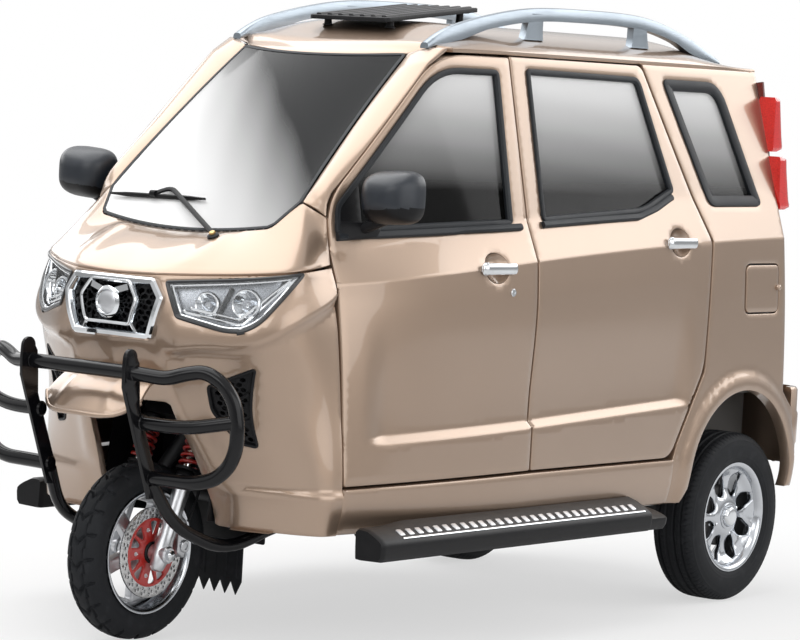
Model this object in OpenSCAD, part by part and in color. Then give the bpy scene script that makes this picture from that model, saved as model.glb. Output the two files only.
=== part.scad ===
// Enclosed three-wheeled passenger rickshaw: one steered front wheel, two driven rear wheels,
// a closed cab with four doors and a tailgate. Millimetres, +Z up, front towards -Y, left side +X,
// origin on the ground under the middle of the vehicle.

/* [Overall] */
// Length from the front of the bull bar to the back of the rear guard
overall_l = 2770; // [2740:5:2820]
// Distance from the front axle to the rear axle
wheelbase = 2090; // [2070:5:2110]
// Front axle behind the front of the bull bar
front_overhang = 290; // [285:1:300]
// Distance between the middles of the rear tyres
rear_track = 940; // [930:1:946]

/* [Front wheel] */
// Front tyre outer diameter
front_tyre_d = 470; // [462:1:474]
// Front tyre section width
front_tyre_w = 100; // [92:1:104]
// Rim bead diameter, front and rear
rim_d = 320; // [310:1:326]
// Front axle diameter
front_axle_d = 20; // [16:0.5:24]
// Brake disc diameter
disc_d = 240; // [200:1:250]
// Brake disc thickness
disc_t = 5; // [4:0.5:7]

/* [Rear wheels] */
// Rear tyre outer diameter
rear_tyre_d = 508; // [500:1:516]
// Rear tyre section width
rear_tyre_w = 146; // [138:1:150]
// Rear stub axle diameter
stub_d = 50; // [40:1:60]
// Petal openings round each rear rim
petal_n = 8; // [6:1:9]
// Pitch circle of the four wheel nuts
nut_pcd = 114.3; // [110:0.1:118]
// Wheel nut diameter across the flats
nut_d = 17; // [14:1:19]

/* [Steering] */
// Rake of the steering axis from the vertical
rake = 22; // [20:0.5:24]
// Fork legs ahead of the steering axis
fork_offset = 40; // [36:1:46]
// Distance between the fork legs
fork_w = 170; // [164:1:180]
// Fork leg diameter
fork_leg_d = 40; // [34:1:44]
// Steering stem diameter
stem_d = 34; // [28:1:38]
// Length of the steering head
head_l = 130; // [110:1:150]
// Handlebar width
bar_w = 640; // [580:5:680]
// Handlebar tube diameter
bar_d = 24; // [20:1:28]

/* [Body section] */
// Half width of the body over the doors
body_half_w = 560; // [552:1:568]
// Half width at the window sill
belt_half_w = 501; // [494:1:508]
// Half width at the eave over the doors
eave_half_w = 405; // [398:1:412]
// Height of the eave over the doors
eave_z = 1590; // [1580:1:1600]
// Height of the bottom of the sill
sill_z = 318; // [308:1:324]
// Height of the bottom of the doors
door_z = 456; // [448:1:466]
// Thickness of the doors and body walls
wall_t = 38; // [32:1:42]
// Gap round each door and lid
door_gap = 5; // [4.5:0.5:6.5]
// Gap between fixed panels
seam = 0.4; // [0.3:0.05:0.6]
// Glass thickness
glass_t = 6; // [4:0.5:8]

/* [Body stations] */
// Front edge of the front doors
door_front_y = -872; // [-877:1:-867]
// Line between the front and the rear doors
door_split_y = -120; // [-130:1:-110]
// Upper rear corner of the rear doors
door_rear_y = 536; // [526:1:546]
// Rear edge of the quarter panels
rear_edge_y = 1163; // [1158:1:1172]
// Rise of the roof crown over the eaves
roof_crown = 72; // [60:1:84]

/* [Trim and guards] */
// Bull bar tube diameter
bull_d = 32; // [28:1:36]
// Roof rail thickness
rail_t = 26; // [22:1:32]
// Width of the running boards
board_w = 110; // [100:1:120]
// Rear guard tube diameter
guard_d = 26; // [22:1:30]
// Tow eye hole diameter
tow_d = 20; // [16:0.5:24]

/* [Doors and lids] */
// Lean of the front door hinges
hinge_lean = 5.5; // [4:0.5:7]
// Mirror housing width
mirror_w = 176; // [160:1:190]
// Mirror housing height
mirror_h = 142; // [134:1:150]
// Fuel flap length
flap_l = 182; // [170:1:190]
// Fuel flap height
flap_h = 142; // [130:1:150]

/* [Inside] */
// Driver seat width
seat_w = 480; // [440:5:520]
// Rear bench width
bench_w = 900; // [860:5:920]
// Floor height
floor_z = 398; // [390:1:406]
// Floor plate thickness
floor_t = 6; // [4:0.5:8]

/* [Hidden] */
$fn = 48;

front_y = -overall_l / 2;
back_y = overall_l / 2;
front_axle_y = front_y + front_overhang;
rear_axle_y = front_axle_y + wheelbase;
front_axle_z = front_tyre_d / 2;
rear_axle_z = rear_tyre_d / 2;
rear_wheel_x = rear_track / 2;
run_fit = 0.05;

paint = [0.72, 0.60, 0.50];
black = [0.06, 0.06, 0.07];
silver = [0.75, 0.76, 0.78];
smoked = [0.18, 0.20, 0.21, 0.6];
rubber = [0.05, 0.05, 0.05];

function lerp(a, b, t) = a + (b - a) * t;
function clamp01(t) = max(0, min(1, t));
function ease(t) = let (u = clamp01(t)) u * u * (3 - 2 * u);
function unit(v) = v / norm(v);

// Catmull-Rom value at t (0 to 1) through a list of numbers or points
function spline(p, t) =
    let (n = len(p) - 1, s = clamp01(t) * n, i = min(floor(s), n - 1), f = s - i,
         a = p[max(i - 1, 0)], b = p[i], c = p[i + 1], d = p[min(i + 2, n)])
    b + 0.5 * f * ((c - a) + f * ((2 * a - 5 * b + 4 * c - d) + f * (3 * (b - c) + d - a)));

// Closed outline from corners [u, v, setback]: each corner is a curve, each edge is split evenly
arc_n = 3;
edge_n = 3;
function outline(c) = [for (i = [0:len(c) - 1]) each
    let (n = len(c), p = [c[i].x, c[i].y], q = c[(i + n - 1) % n], r = c[(i + 1) % n],
         to_next = unit([r.x, r.y] - p), a = p + unit([q.x, q.y] - p) * c[i].z, b = p + to_next * c[i].z,
         e = [r.x, r.y] - to_next * r.z)
    concat([for (k = [0:arc_n]) let (t = k / arc_n) (1 - t) * (1 - t) * a + 2 * t * (1 - t) * p + t * t * b],
           [for (k = [1:edge_n]) lerp(b, e, k / (edge_n + 1))])];

// Centre of an outline
function middle(o) = [for (k = [0, 1]) let (v = [for (p = o) p[k]]) (max(v) + min(v)) / 2];
// Grid of rings from one outline to another
function rings(o, q, n) = [for (i = [0:len(o) - 1]) [for (j = [0:n]) lerp(o[i], q[i], j / n)]];
// Closed solid between an outer grid and an inner grid; i x j points outwards
module sheet(outer, inner, ring = false) {
    n = len(outer);
    m = len(outer[0]);
    last = ring ? n - 1 : n - 2;
    function id(i, j, k) = k * n * m + (i % n) * m + j;
    cells = [for (i = [0:last]) each [for (j = [0:m - 2]) [i, j]]];
    skin = [for (c = cells) let (i = c[0], j = c[1]) each [
        [id(i, j, 0), id(i, j + 1, 0), id(i + 1, j + 1, 0)], [id(i, j, 0), id(i + 1, j + 1, 0),
            id(i + 1, j, 0)],
        [id(i, j, 1), id(i + 1, j + 1, 1), id(i, j + 1, 1)], [id(i, j, 1), id(i + 1, j, 1),
            id(i + 1, j + 1, 1)]]];
    edges = [for (i = [0:last]) each [
        [id(i, 0, 0), id(i + 1, 0, 0), id(i + 1, 0, 1)], [id(i, 0, 0), id(i + 1, 0, 1), id(i, 0, 1)],
        [id(i + 1, m - 1, 0), id(i, m - 1, 0), id(i, m - 1, 1)],
        [id(i + 1, m - 1, 0), id(i, m - 1, 1), id(i + 1, m - 1, 1)]]];
    ends = ring ? [] : [for (j = [0:m - 2]) each [
        [id(0, j + 1, 0), id(0, j, 0), id(0, j, 1)], [id(0, j + 1, 0), id(0, j, 1), id(0, j + 1, 1)],
        [id(n - 1, j, 0), id(n - 1, j + 1, 0), id(n - 1, j + 1, 1)],
        [id(n - 1, j, 0), id(n - 1, j + 1, 1), id(n - 1, j, 1)]]];
    polyhedron(concat([for (row = outer) each row], [for (row = inner) each row]),
        concat(skin, edges, ends));
}
// Closed dish over an outline: rings to a middle point, outer and inner skin
module dish(outer, inner, outer_mid, inner_mid) {
    n = len(outer);
    m = len(outer[0]);
    function id(i, j, k) = k * (n * m + 1) + (i % n) * m + j;
    function mid(k) = k * (n * m + 1) + n * m;
    skin = [for (i = [0:n - 1]) each [for (j = [0:m - 2]) each [
        [id(i, j, 0), id(i, j + 1, 0), id(i + 1, j + 1, 0)], [id(i, j, 0), id(i + 1, j + 1, 0),
            id(i + 1, j, 0)],
        [id(i, j, 1), id(i + 1, j + 1, 1), id(i, j + 1, 1)], [id(i, j, 1), id(i + 1, j, 1),
            id(i + 1, j + 1, 1)]]]];
    caps = [for (i = [0:n - 1]) each [
        [id(i, m - 1, 0), mid(0), id(i + 1, m - 1, 0)], [id(i, m - 1, 1), id(i + 1, m - 1, 1), mid(1)],
        [id(i, 0, 0), id(i + 1, 0, 0), id(i + 1, 0, 1)], [id(i, 0, 0), id(i + 1, 0, 1), id(i, 0, 1)]]];
    polyhedron(concat([for (row = outer) each row], [outer_mid], [for (row = inner) each row], [inner_mid]),
        concat(skin, caps));
}
// Part on the left side and its mirror image
module both_sides() {
    children();
    mirror([1, 0, 0]) children();
}
// Round bar between two points
module bar(a, b, d) {
    v = b - a;
    translate(a) rotate([0, acos(v.z / norm(v)), atan2(v.y, v.x)]) cylinder(d = d, h = norm(v));
}
// Round bar along a list of points, with a ball a little larger than the bar at each bend
knuckle = 1.2;
module tube_path(pts, d) {
    for (i = [0:len(pts) - 2]) bar(pts[i], pts[i + 1], d);
    for (i = [1:len(pts) - 2]) translate(pts[i]) sphere(d = d + knuckle);
}

// Side of the body: half width at a station y and a height z
waist_ref_y = -130;
waist_ref_z = 1030;
function waist_z(y) = let (t = y - waist_ref_y) waist_ref_z + 0.075 * t - 0.00002 * t * t;
function belt_z(y) = waist_z(y) + 110 + 0.03 * (y - waist_ref_y);
waist_in = 13;
sill_crease_z = 430;
sill_tuck = 20;
nose_taper = 47;
pillar_taper = 32;
nose_taper_y = -480;
cab_taper = 57;
// narrowing of the cab from the door split to the front
function front_taper(y) = cab_taper * pow(clamp01((door_split_y - y) / (door_split_y - door_front_y)),
    1.68);
function low_taper(y, z) = nose_taper * clamp01((z - door_z) / 480)
    * pow(max(0, (nose_taper_y - y) / (nose_taper_y - door_front_y)), 2);
function high_taper(y) = pillar_taper * max(0, (door_split_y - y) / (door_split_y - door_front_y));
function side_x(y, z) = -front_taper(y) + full_x(y, z);
function full_x(y, z) =
    let (w = waist_z(y), b = belt_z(y))
    z < sill_crease_z ? body_half_w - sill_tuck * pow((sill_crease_z - z) / (sill_crease_z - sill_z), 2)
    : z <= w ? body_half_w - waist_in * pow(clamp01((z - 700) / (w - 700)), 2) - low_taper(y, z)
    : z <= b ? lerp(body_half_w - waist_in - low_taper(y, z), belt_half_w - high_taper(y),
        (z - w) / (b - w))
    : belt_half_w - (belt_half_w - eave_half_w) * (z - b) / (eave_z - b) - high_taper(y);
function on_side(p, depth = 0) = [side_x(p.x, p.y) - depth, p.x, p.y];
function side_grid(g, depth = 0) = [for (row = g) [for (p = row) on_side(p, depth)]];

// Door outlines in [y, z, setback]
half_gap = door_gap / 2;
door_drop = 11;
front_top_z = eave_z - door_gap - 3;
front_door = [[door_front_y, door_z - door_drop, 12], [door_split_y - half_gap, door_z, 8],
    [door_split_y - half_gap, front_top_z, 8], [-416, front_top_z - 1, 110], [door_front_y + 6, 1178, 80]];
front_window = [[-800, 1100, 10], [-189, 1130, 14], [-178, 1545, 20], [-429, 1543, 95], [-795, 1206, 14]];
// lower edge of the doors
function door_low(y) = door_z - door_drop * clamp01((door_split_y - y) / (door_split_y - door_front_y));
rear_door = [[door_split_y + half_gap, door_z, 8], [582, door_z, 40], [737, 712, 40], [762, 1083, 25],
    [door_rear_y, eave_z - door_gap, 25], [door_split_y + half_gap, eave_z - door_gap, 8]];
rear_window = [[-52, 1138, 14], [200, 1152, 2], [440, 1166, 50], [606, 1225, 16], [508, 1549, 28],
    [-46, 1553, 16]];
quarter_window = [[790, 1187, 26], [1066, 1190, 24], [940, 1548, 70], [636, 1548, 26]];
frame_rows = 3;

module door_panel(door, window) {
    g = rings(outline(door), outline(window), frame_rows);
    color(paint) sheet(side_grid(g), side_grid(g, wall_t), true);
}
glass_in = 14;
module side_glass(window) {
    o = outline(window);
    c = middle(o);
    inset = [for (p = o) p + unit(c - p) * seam];
    g = [for (p = inset) [for (j = [0:1]) lerp(p, c, j * 0.5)]];
    color(smoked) dish(side_grid(g, glass_in), side_grid(g, glass_in + glass_t),
        on_side(c, glass_in), on_side(c, glass_in + glass_t));
}
module door_front_left() door_panel(front_door, front_window);
module door_front_right() mirror([1, 0, 0]) door_panel(front_door, front_window);
module door_rear_left() door_panel(rear_door, rear_window);
module door_rear_right() mirror([1, 0, 0]) door_panel(rear_door, rear_window);
module glass_front_left() side_glass(front_window);
module glass_front_right() mirror([1, 0, 0]) side_glass(front_window);
module glass_rear_left() side_glass(rear_window);
module glass_rear_right() mirror([1, 0, 0]) side_glass(rear_window);

// Pull handle lying along the side at y, z
handle_l = 150;
handle_h = 34;
module pull_handle(y, z) {
    x = side_x(y, z);
    color(silver) translate([x + seam + 4, y, z]) {
        translate([6, 0, 0]) rotate([90, 0, 0]) linear_extrude(handle_l, center = true)
            hull() for (s = [-1, 1]) translate([0, s * (handle_h / 2 - 8)]) circle(8);
        for (s = [-1, 1]) translate([0, s * (handle_l / 2 - 14), 0]) rotate([0, 90, 0])
            cylinder(d = 16, h = 8, center = true);
    }
}
front_handle = [-300, 1012];
rear_handle = [594, 1080];
module handle_front_left() pull_handle(front_handle.x, front_handle.y);
module handle_front_right() mirror([1, 0, 0]) pull_handle(front_handle.x, front_handle.y);
module handle_rear_left() pull_handle(rear_handle.x, rear_handle.y);
module handle_rear_right() mirror([1, 0, 0]) pull_handle(rear_handle.x, rear_handle.y);

// Door mirror: foot on the window corner, arm and housing
mirror_y = -766;
mirror_z = 1199;
mirror_x = 445;
// columns: x along the housing, y, ball radius, drop of the ball from the housing's edge
mirror_balls = [[30, 8, 30, 6], [mirror_w - 36, 12, 36, 0], [mirror_w - 70, -16, 30, 4]];
module door_mirror() {
    foot_y = -785;
    foot_z = 1122;
    x = side_x(foot_y, foot_z) + seam + 12;
    color(black) {
        translate([x, foot_y, foot_z]) rotate([0, 0, 4]) rotate([0, -14, 0]) translate([6, 0, 0])
            cube([12, 110, 52], center = true);
        bar([x + 8, foot_y + 10, foot_z], [mirror_x + 60, mirror_y, mirror_z - mirror_h / 2 + 16], 26);
        translate([mirror_x, mirror_y, mirror_z]) hull() for (c = mirror_balls) for (s = [-1, 1])
            translate([c[0], c[1], s * (mirror_h / 2 - c[2] - c[3])]) sphere(r = c[2], $fn = 16);
    }
}
module mirror_left() door_mirror();
module mirror_right() mirror([1, 0, 0]) door_mirror();

// Sill under the doors and post behind the door split
sill_end_y = 600;
sill_depth = 60;
module sills() {
    rows = [for (k = [0:6]) lerp(nose_edge_y + seam, sill_end_y, k / 6)];
    g = [for (y = rows) [for (k = [0:4]) [y, lerp(sill_z, door_low(y) - door_gap, k / 4)]]];
    color(paint) both_sides() sheet(side_grid(g), side_grid(g, sill_depth));
}
post_w = 90;
post_t = 30;
module b_posts() {
    depth = sill_depth + door_gap + 1;
    ys = [for (k = [0:2]) door_split_y + lerp(-post_w, post_w, k / 2) / 2];
    zs = [for (k = [0:6]) lerp(floor_z + floor_t + seam, eave_z + roof_lip - 0.5, k / 6)];
    g = [for (y = ys) [for (z = zs) [y, z]]];
    color(paint) both_sides() sheet(side_grid(g, depth), side_grid(g, depth + post_t));
}

// Rear quarter: a lower patch round the wheel arch and an upper ring round the window
arch_y = rear_axle_y - 33;
arch_z = 360;
arch_r = 280;
flare_w = 62;
flare_out = 12;
function arch_flare(p) = flare_out * ease((arch_r + flare_w - norm([p.x - arch_y,
    max(p.y - arch_z, 0)])) / flare_w);
function rear_edge(z) = rear_edge_y + (z > 1098 ? 0 : 0.06 * (1098 - z)) + 62 * ease((640 - z) / 80);
waist_front = [768, 1085];
waist_back = [rear_edge(1098), 1098];
arch_end = -5;
rim_front = [[sill_end_y + seam, sill_z], [sill_end_y + seam, 380],
    [sill_end_y + seam, door_z - door_gap - 1],
    [620, 500], [660, 567], [700, 634], [744, 703], [750, 800], [755, 865], [759, 930], [764, 1010]];
rim_back_z = [1000, 900, 820, 750, 690, 640, 600, 560, 500, 440, 380, arch_z + arch_r * sin(arch_end)];
quarter_rim = concat(rim_front, [for (k = [0:5]) lerp(waist_front, waist_back, k / 5)],
    [for (z = rim_back_z) [rear_edge(z), z]]);
arch_foot = [arch_y - arch_r - 22, sill_z];
// Point of the wheel arch under a point of the rim
function arch_pt(p) = let (a = atan2(p.y - arch_z, p.x - arch_y), f = (arch_z - p.y) / (arch_z - sill_z))
    p.x < arch_y && p.y < arch_z ? lerp([arch_y - arch_r, arch_z], arch_foot, f)
    : [arch_y + arch_r * cos(max(a, arch_end)), arch_z + arch_r * sin(max(a, arch_end))];
module quarter_panel() {
    m = 5;
    g = [for (p = quarter_rim) [for (j = [0:m]) lerp(arch_pt(p), p, j / m)]];
    skin = [for (row = g) [for (p = row) on_side(p) + [arch_flare(p), 0, 0]]];
    back = [for (row = g) [for (p = row) on_side(p, wall_t)]];
    upper = rings(outline([[waist_front.x, waist_front.y + seam, 4], [waist_back.x, waist_back.y + seam, 4],
        [rear_edge_y, eave_z - seam, 6], [door_rear_y + door_gap, eave_z - seam, 20]]),
            outline(quarter_window), 3);
    color(paint) {
        sheet(skin, back);
        sheet(side_grid(upper), side_grid(upper, wall_t), true);
    }
}
module quarter_left() quarter_panel();
module quarter_right() mirror([1, 0, 0]) quarter_panel();
module quarter_glass() both_sides() side_glass(quarter_window);

// Front end stops short of the doors
nose_edge_y = door_front_y - door_gap;
// Nose: plan contours at several heights, from the middle to the front edge of the door
// columns: z, then x and y at the middle, the grille edge, the lamp, the corner and the door edge
function door_edge(z) = [side_x(nose_edge_y, z), nose_edge_y];
NOSE = [
    [sill_z, [[0, -1046], [180, -1018], [359, -978], [466, -932], door_edge(sill_z)]],
    [430, [[0, -1086], [180, -1054], [359, -1002], [476, -945], door_edge(430)]],
    [650, [[0, -1192], [162, -1162], [315, -1095], [445, -985], door_edge(650)]],
    [850, [[0, -1245], [166, -1230], [330, -1130], [434, -1036], door_edge(850)]],
    [1020, [[0, -1228], [148, -1216], [325, -1110], [424, -1018], door_edge(1020)]]];
function nose_row(k, s) = spline(NOSE[k][1], s);
function nose_level(z, k = 0) = k == len(NOSE) - 2 || z <= NOSE[k + 1][0] ? k : nose_level(z, k + 1);
function nose_xy(s, z) =
    let (k = nose_level(z), n = len(NOSE) - 1,
        f = clamp01((z - NOSE[k][0]) / (NOSE[k + 1][0] - NOSE[k][0])),
         a = nose_row(max(k - 1, 0), s), b = nose_row(k, s), c = nose_row(k + 1, s),
             d = nose_row(min(k + 2, n), s))
    b + 0.5 * f * ((c - a) + f * ((2 * a - 5 * b + 4 * c - d) + f * (3 * (b - c) + d - a)));
// Point of the nose for s from -1 (right) to 1 (left)
function nose_pt(s, z) = let (p = nose_xy(abs(s), z)) [sign(s) * p.x, p.y, z];
function nose_in(s, z, d) = let (e = 0.01, a = nose_pt(s - e, z), b = nose_pt(s + e, z), t = unit(b - a))
    nose_pt(s, z) + d * [-t.y, t.x, 0];
crease_mid_z = 972;
crease_end_z = 1016;
function crease_z(s) = lerp(crease_mid_z, crease_end_z, pow(abs(s), 1.5));
// Lower edge of the nose: high over the wheel, down to the sill beside it
well_half_w = 188;
well_top_z = 640;
function nose_low(s) = let (x = nose_xy(abs(s), 430).x) lerp(well_top_z, sill_z,
    ease((x - well_half_w + 30) / 40));
nose_t = 20;
module nose_shell() {
    n = 32;
    m = 7;
    edge = 1 - 0.002;
    g = [for (i = [0:n]) let (s = lerp(-edge, edge, i / n))
        [for (j = [0:m]) [s, lerp(nose_low(s), crease_z(s), j / m)]]];
    color(paint) sheet([for (row = g) [for (p = row) nose_pt(p.x, p.y)]],
        [for (row = g) [for (p = row) let (q = nose_in(p.x, p.y, nose_t)) [q.x, min(q.y, nose_edge_y),
            q.z]]]);
}

// Windscreen base and top edges for s from -1 to 1; the base turns up at its corners
ws_base_w = 334;
ws_top_w = 285;
ws_slope = 1.05;
ws_corner = 0.86;
ws_steps = 16;
function ws_base(s) = let (a = abs(s), rise = 32 * a * a + 64 * ease((a - ws_corner) / (1 - ws_corner)))
    [ws_base_w * s, -1000 + ws_slope * rise, 1078 + rise];
function ws_top(s) = [ws_top_w * s, -492 + 70 * s * s, 1565 + 12 * s * s];
ws_bulge = 18;
function ws_pt(s, v) = lerp(ws_base(s), ws_top(s), v)
    + [0, -0.7, 0.7] * ws_bulge * 4 * v * (1 - v) * (1 - 0.5 * s * s);
module windscreen() {
    n = ws_steps;
    m = 5;
    k = 1 - 4 * seam / ws_top_w;
    g = [for (i = [0:n]) [for (j = [0:m]) ws_pt(lerp(-k, k, i / n), lerp(0.001, 0.999, j / m))]];
    color(smoked) sheet(g, [for (row = g) [for (p = row) p + [0, glass_t * 0.7, -glass_t * 0.7]]]);
}

// Hood from the crease over the lamps back to the windscreen and the pillar feet
function hood_front(s) = nose_pt(s, crease_z(s));
pillar_foot = let (y = nose_edge_y + 3, z = 1139) [side_x(y, z), y, z];
hood_k = 0.8;
function hood_back(s) = let (a = abs(s)) a <= hood_k ? ws_base(s / hood_k)
    : let (t = (a - hood_k) / (1 - hood_k), q = lerp(ws_base(1), pillar_foot, t)) [sign(s) * q.x, q.y, q.z];
hood_crown = 14;
hood_ends = [0.998, 0.93, 0.865];
// the same stations as the windscreen, then a few to each side
hood_s = concat(-hood_ends, [for (i = [0:ws_steps]) hood_k * lerp(-1, 1, i / ws_steps)],
    [for (k = [2:-1:0]) hood_ends[k]]);
module hood() {
    n = len(hood_s) - 1;
    m = 4;
    g = [for (s = hood_s) [for (j = [0:m]) let (v = j / m,
        a = hood_front(s) + [0, 0, seam], b = hood_back(s) + [0, -1, -1.5])
        lerp(a, b, v) + [0, 0, hood_crown * 4 * v * (1 - v) * (1 - s * s)]]];
    // the front edge is level and square to the nose, the rest square to the panel
    function inner(i, j) = let (along = g[min(i + 1, n)][j] - g[max(i - 1, 0)][j],
        up = j == 0 ? [0, 0, 1] : g[i][min(j + 1, m)] - g[i][j - 1],
            q = g[i][j] - nose_t * unit(cross(along, up)))
        [q.x, min(q.y, max(g[i][j].y, nose_edge_y)), q.z];
    color(paint) sheet(g, [for (i = [0:n]) [for (j = [0:m]) inner(i, j)]]);
}

// Edge of the roof panel over the eaves
roof_lip = 8;
// Windscreen pillars between the glass and the front door gap
function pillar_outer(t) = spline([[nose_edge_y + 3, 1139], [door_front_y + 8 - door_gap, 1203 + door_gap],
    [-746 - door_gap, 1301 + door_gap], [-605, 1428 + door_gap + 2], [-479, 1535 + door_gap + 2],
    [-376, eave_z + roof_lip - seam]], t);
module a_pillars() {
    n = 12;
    swell = [-2, -10, 11] / 130;
    // the foot is rounder, so that it stands out past the edge of the door
    function foot_swell(t) = [0, -16, 4] * ease(t * 10) * (1 - ease((t - 0.15) / 0.4));
    inward = [[0, 14, -14], [8, 8, -8], [18, 0, 0]];
    g = [for (i = [0:n]) let (t = i / n, o = on_side(pillar_outer(t)), e = ws_pt(1, t) + [seam, 0, 0],
        a = [-e.x, e.y, e.z], b = [-o.x, o.y, o.z]) [a,
            (a + b) / 2 + norm(b - a) * swell + foot_swell(t), b]];
    color(paint) both_sides() sheet(g, [for (row = g) [for (j = [0:2]) row[j] + inward[j]]]);
}

// Roof: crowned between the eaves, from the windscreen header to the tailgate
roof_end_y = rear_edge_y;
roof_t = 24;
function roof_edge_w(y) = lerp(ws_top_w, eave_half_w - high_taper(y) - front_taper(y),
    ease((y + 430) / 60));
function roof_rise(y) = roof_crown * ease((y + 480) / 330) * (1 - ease((y - 800) / (roof_end_y - 800)));
function roof_pt(s, v) =
    let (f = ws_top(s), y = lerp(f.y + seam + glass_t * 0.7, roof_end_y, v), k = clamp01(v * 25),
         w = lerp(ws_top_w, roof_edge_w(y), k), base = lerp(f.z, eave_z + roof_lip, k))
    [s * w, y, base + roof_rise(y) * (1 - pow(abs(s), 4))];
function roof_height(x, y) = eave_z + roof_lip + roof_rise(y) * (1 - pow(x / roof_edge_w(y), 4));
module roof_shell() {
    n = 18;
    m = 12;
    g = [for (i = [0:n]) [for (j = [0:m]) let (v = j / m) roof_pt(lerp(-1, 1, i / n),
        v * v * (1.6 - 0.6 * v))]];
    color(paint) sheet(g, [for (row = g) [for (p = row)
        [p.x, p.y, p.z > eave_z ? max(eave_z, p.z - roof_t) : p.z - roof_lip]]]);
}

// Back of the body as a surface y over x and z
BACK = [[380, 1300], [620, 1300], [906, 1294], [1150, 1240], [1205, 1186], [1538, 1169], [1700, 1163]];
function back_mid(z) = lookup(z, BACK);
function back_y_at(x, z) = let (e = rear_edge(max(z, 650)), w = side_x(e, min(z, eave_z)))
    lerp(back_mid(z), e, pow(min(1, abs(x) / w), 7));
function on_back(p, depth = 0) = [p.x, back_y_at(p.x, p.y) - depth, p.y];
function back_grid(g, depth = 0) = [for (row = g) [for (p = row) on_back(p, depth)]];
gate_low_z = 650;
gate_top_z = 1560;
gate_outline = [[400, gate_low_z, 30], [-400, gate_low_z, 30], [-400, 1150, 20], [-356, gate_top_z, 30],
    [356, gate_top_z, 30], [400, 1150, 20]];
gate_window = [[342, 1225, 24], [-342, 1225, 24], [-338, 1300, 4], [-306, 1520, 24], [306, 1520, 24],
    [338, 1300, 4]];
function grown(o, d) = let (c = middle(o)) [for (p = o) let (v = p - c)
    p + [for (k = [0, 1]) sign(v[k]) * min(d, abs(v[k]) / 40)]];
shell_outline = [[1, 0], [-1, 0], [-1, 0.53], [-1, 1], [1, 1], [1, 0.53]];
shell_low_z = 642;
shell_lip = 6;
function edge_x(z) = side_x(rear_edge(max(z, 650)), z);
module rear_shell() {
    top = eave_z - seam;
    outer = outline([for (c = shell_outline) let (z = lerp(shell_low_z, top, c.y)) [c.x * edge_x(z), z,
        4]]);
    hole = grown(outline(gate_outline), door_gap);
    g = rings(outer, hole, 3);
    // the skin stands off the quarters by the lip, and its inner face stays behind them
    function lip(p) = [0, shell_lip * pow(min(1, abs(p.x) / edge_x(p.y)), 7), 0];
    function inner(p) = let (q = on_back(p, wall_t)) [q.x, max(q.y, rear_edge(p.y) + seam), q.z];
    color(paint) sheet([for (row = g) [for (p = row) on_back(p) + lip(p)]],
        [for (row = g) [for (p = row) inner(p)]], true);
}
module tailgate() {
    g = rings(outline(gate_outline), outline(gate_window), 3);
    color(paint) sheet(back_grid(g), back_grid(g, wall_t - 6), true);
}
gate_glass_in = 10;
module tailgate_glass() {
    o = outline(gate_window);
    c = middle(o);
    g = [for (p = o) [for (j = [0:1]) lerp(p + unit(c - p) * seam, c, j * 0.5)]];
    color(smoked) dish(back_grid(g, gate_glass_in), back_grid(g, gate_glass_in + glass_t),
        on_back(c, gate_glass_in), on_back(c, gate_glass_in + glass_t));
}
// Bumper under the tailgate, wrapped round the corners
bumper_front_y = 1268;
bumper_back_y = 1332;
bumper_low_z = 400;
bumper_r = (bumper_back_y - bumper_front_y) / 2;
module rear_bumper() {
    color(paint) translate([0, 0, bumper_low_z]) linear_extrude(shell_low_z - seam - bumper_low_z)
        difference() {
        hull() both_sides() {
            translate([body_half_w - bumper_r, bumper_back_y - bumper_r]) circle(bumper_r);
            translate([body_half_w - 22, bumper_front_y]) square([20, 4]);
        }
        translate([-body_half_w + 60, bumper_front_y - 1]) square([2 * body_half_w - 120, 26]);
    }
}

// Lens or insert just off the nose, from an outline in [s, z] and its thickness
insert_rings = 4;
insert_lift = 4;
module nose_insert(corners, lift, thick) {
    o = outline(corners);
    c = middle(o);
    g = [for (p = o) [for (j = [0:insert_rings - 1]) lerp(p, c, j / insert_rings)]];
    function face(d) = [for (row = g) [for (p = row) nose_in(p.x, p.y, -d)]];
    dish(face(lift + thick), face(lift), nose_in(c.x, c.y, -lift - thick), nose_in(c.x, c.y, -lift));
}
lamp_t = 6;
lamp_corners = [[0.30, 868, 0.001], [0.53, 836, 0.02], [0.80, 1001, 0.03], [0.27, 956, 0.001]];
module headlamps() color([0.85, 0.87, 0.9]) both_sides() nose_insert(lamp_corners, insert_lift + 6, lamp_t);
vent_t = 5;
vent_corners = [[0.40, 645, 0.01], [0.53, 553, 0.02], [0.56, 600, 0.02], [0.56, 745, 0.02]];
module side_vents() color(black) both_sides() nose_insert(vent_corners, insert_lift, vent_t);

// Grille: chrome frame with crossed bars over the middle of the nose
grille_corners = [[-0.20, 806, 0.02], [0.20, 806, 0.02], [0.255, 914, 0.01], [0.22, 962, 0.01],
    [-0.22, 962, 0.01], [-0.255, 914, 0.01]];
grille_bars = 5;
module grille() {
    o = outline(grille_corners);
    c = middle(o);
    frame = rings(o, [for (p = o) lerp(p, c, 0.13)], 1);
    badge = rings([for (p = o) lerp(p, c, 0.5)], [for (p = o) lerp(p, c, 0.6)], 1);
    function face(g, d) = [for (row = g) [for (p = row) nose_in(p.x, p.y, -d)]];
    function span(z) = 0.235 - 0.0006 * abs(z - 900);
    color(silver) {
        sheet(face(frame, 14), face(frame, insert_lift), true);
        sheet(face(badge, 12), face(badge, insert_lift), true);
        for (k = [0:grille_bars - 1]) let (z = lerp(830, 942, k / (grille_bars - 1)))
            if (abs(z - 886) > 50) {
                g = [for (i = [0:8]) [for (j = [0, 1]) [lerp(-1, 1, i / 8) * span(z) * 0.86,
                    z - 4 + 8 * j]]];
                sheet(face(g, 9), face(g, insert_lift));
            }
    }
}

// Beak over the front wheel
beak_t = 10;
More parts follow.
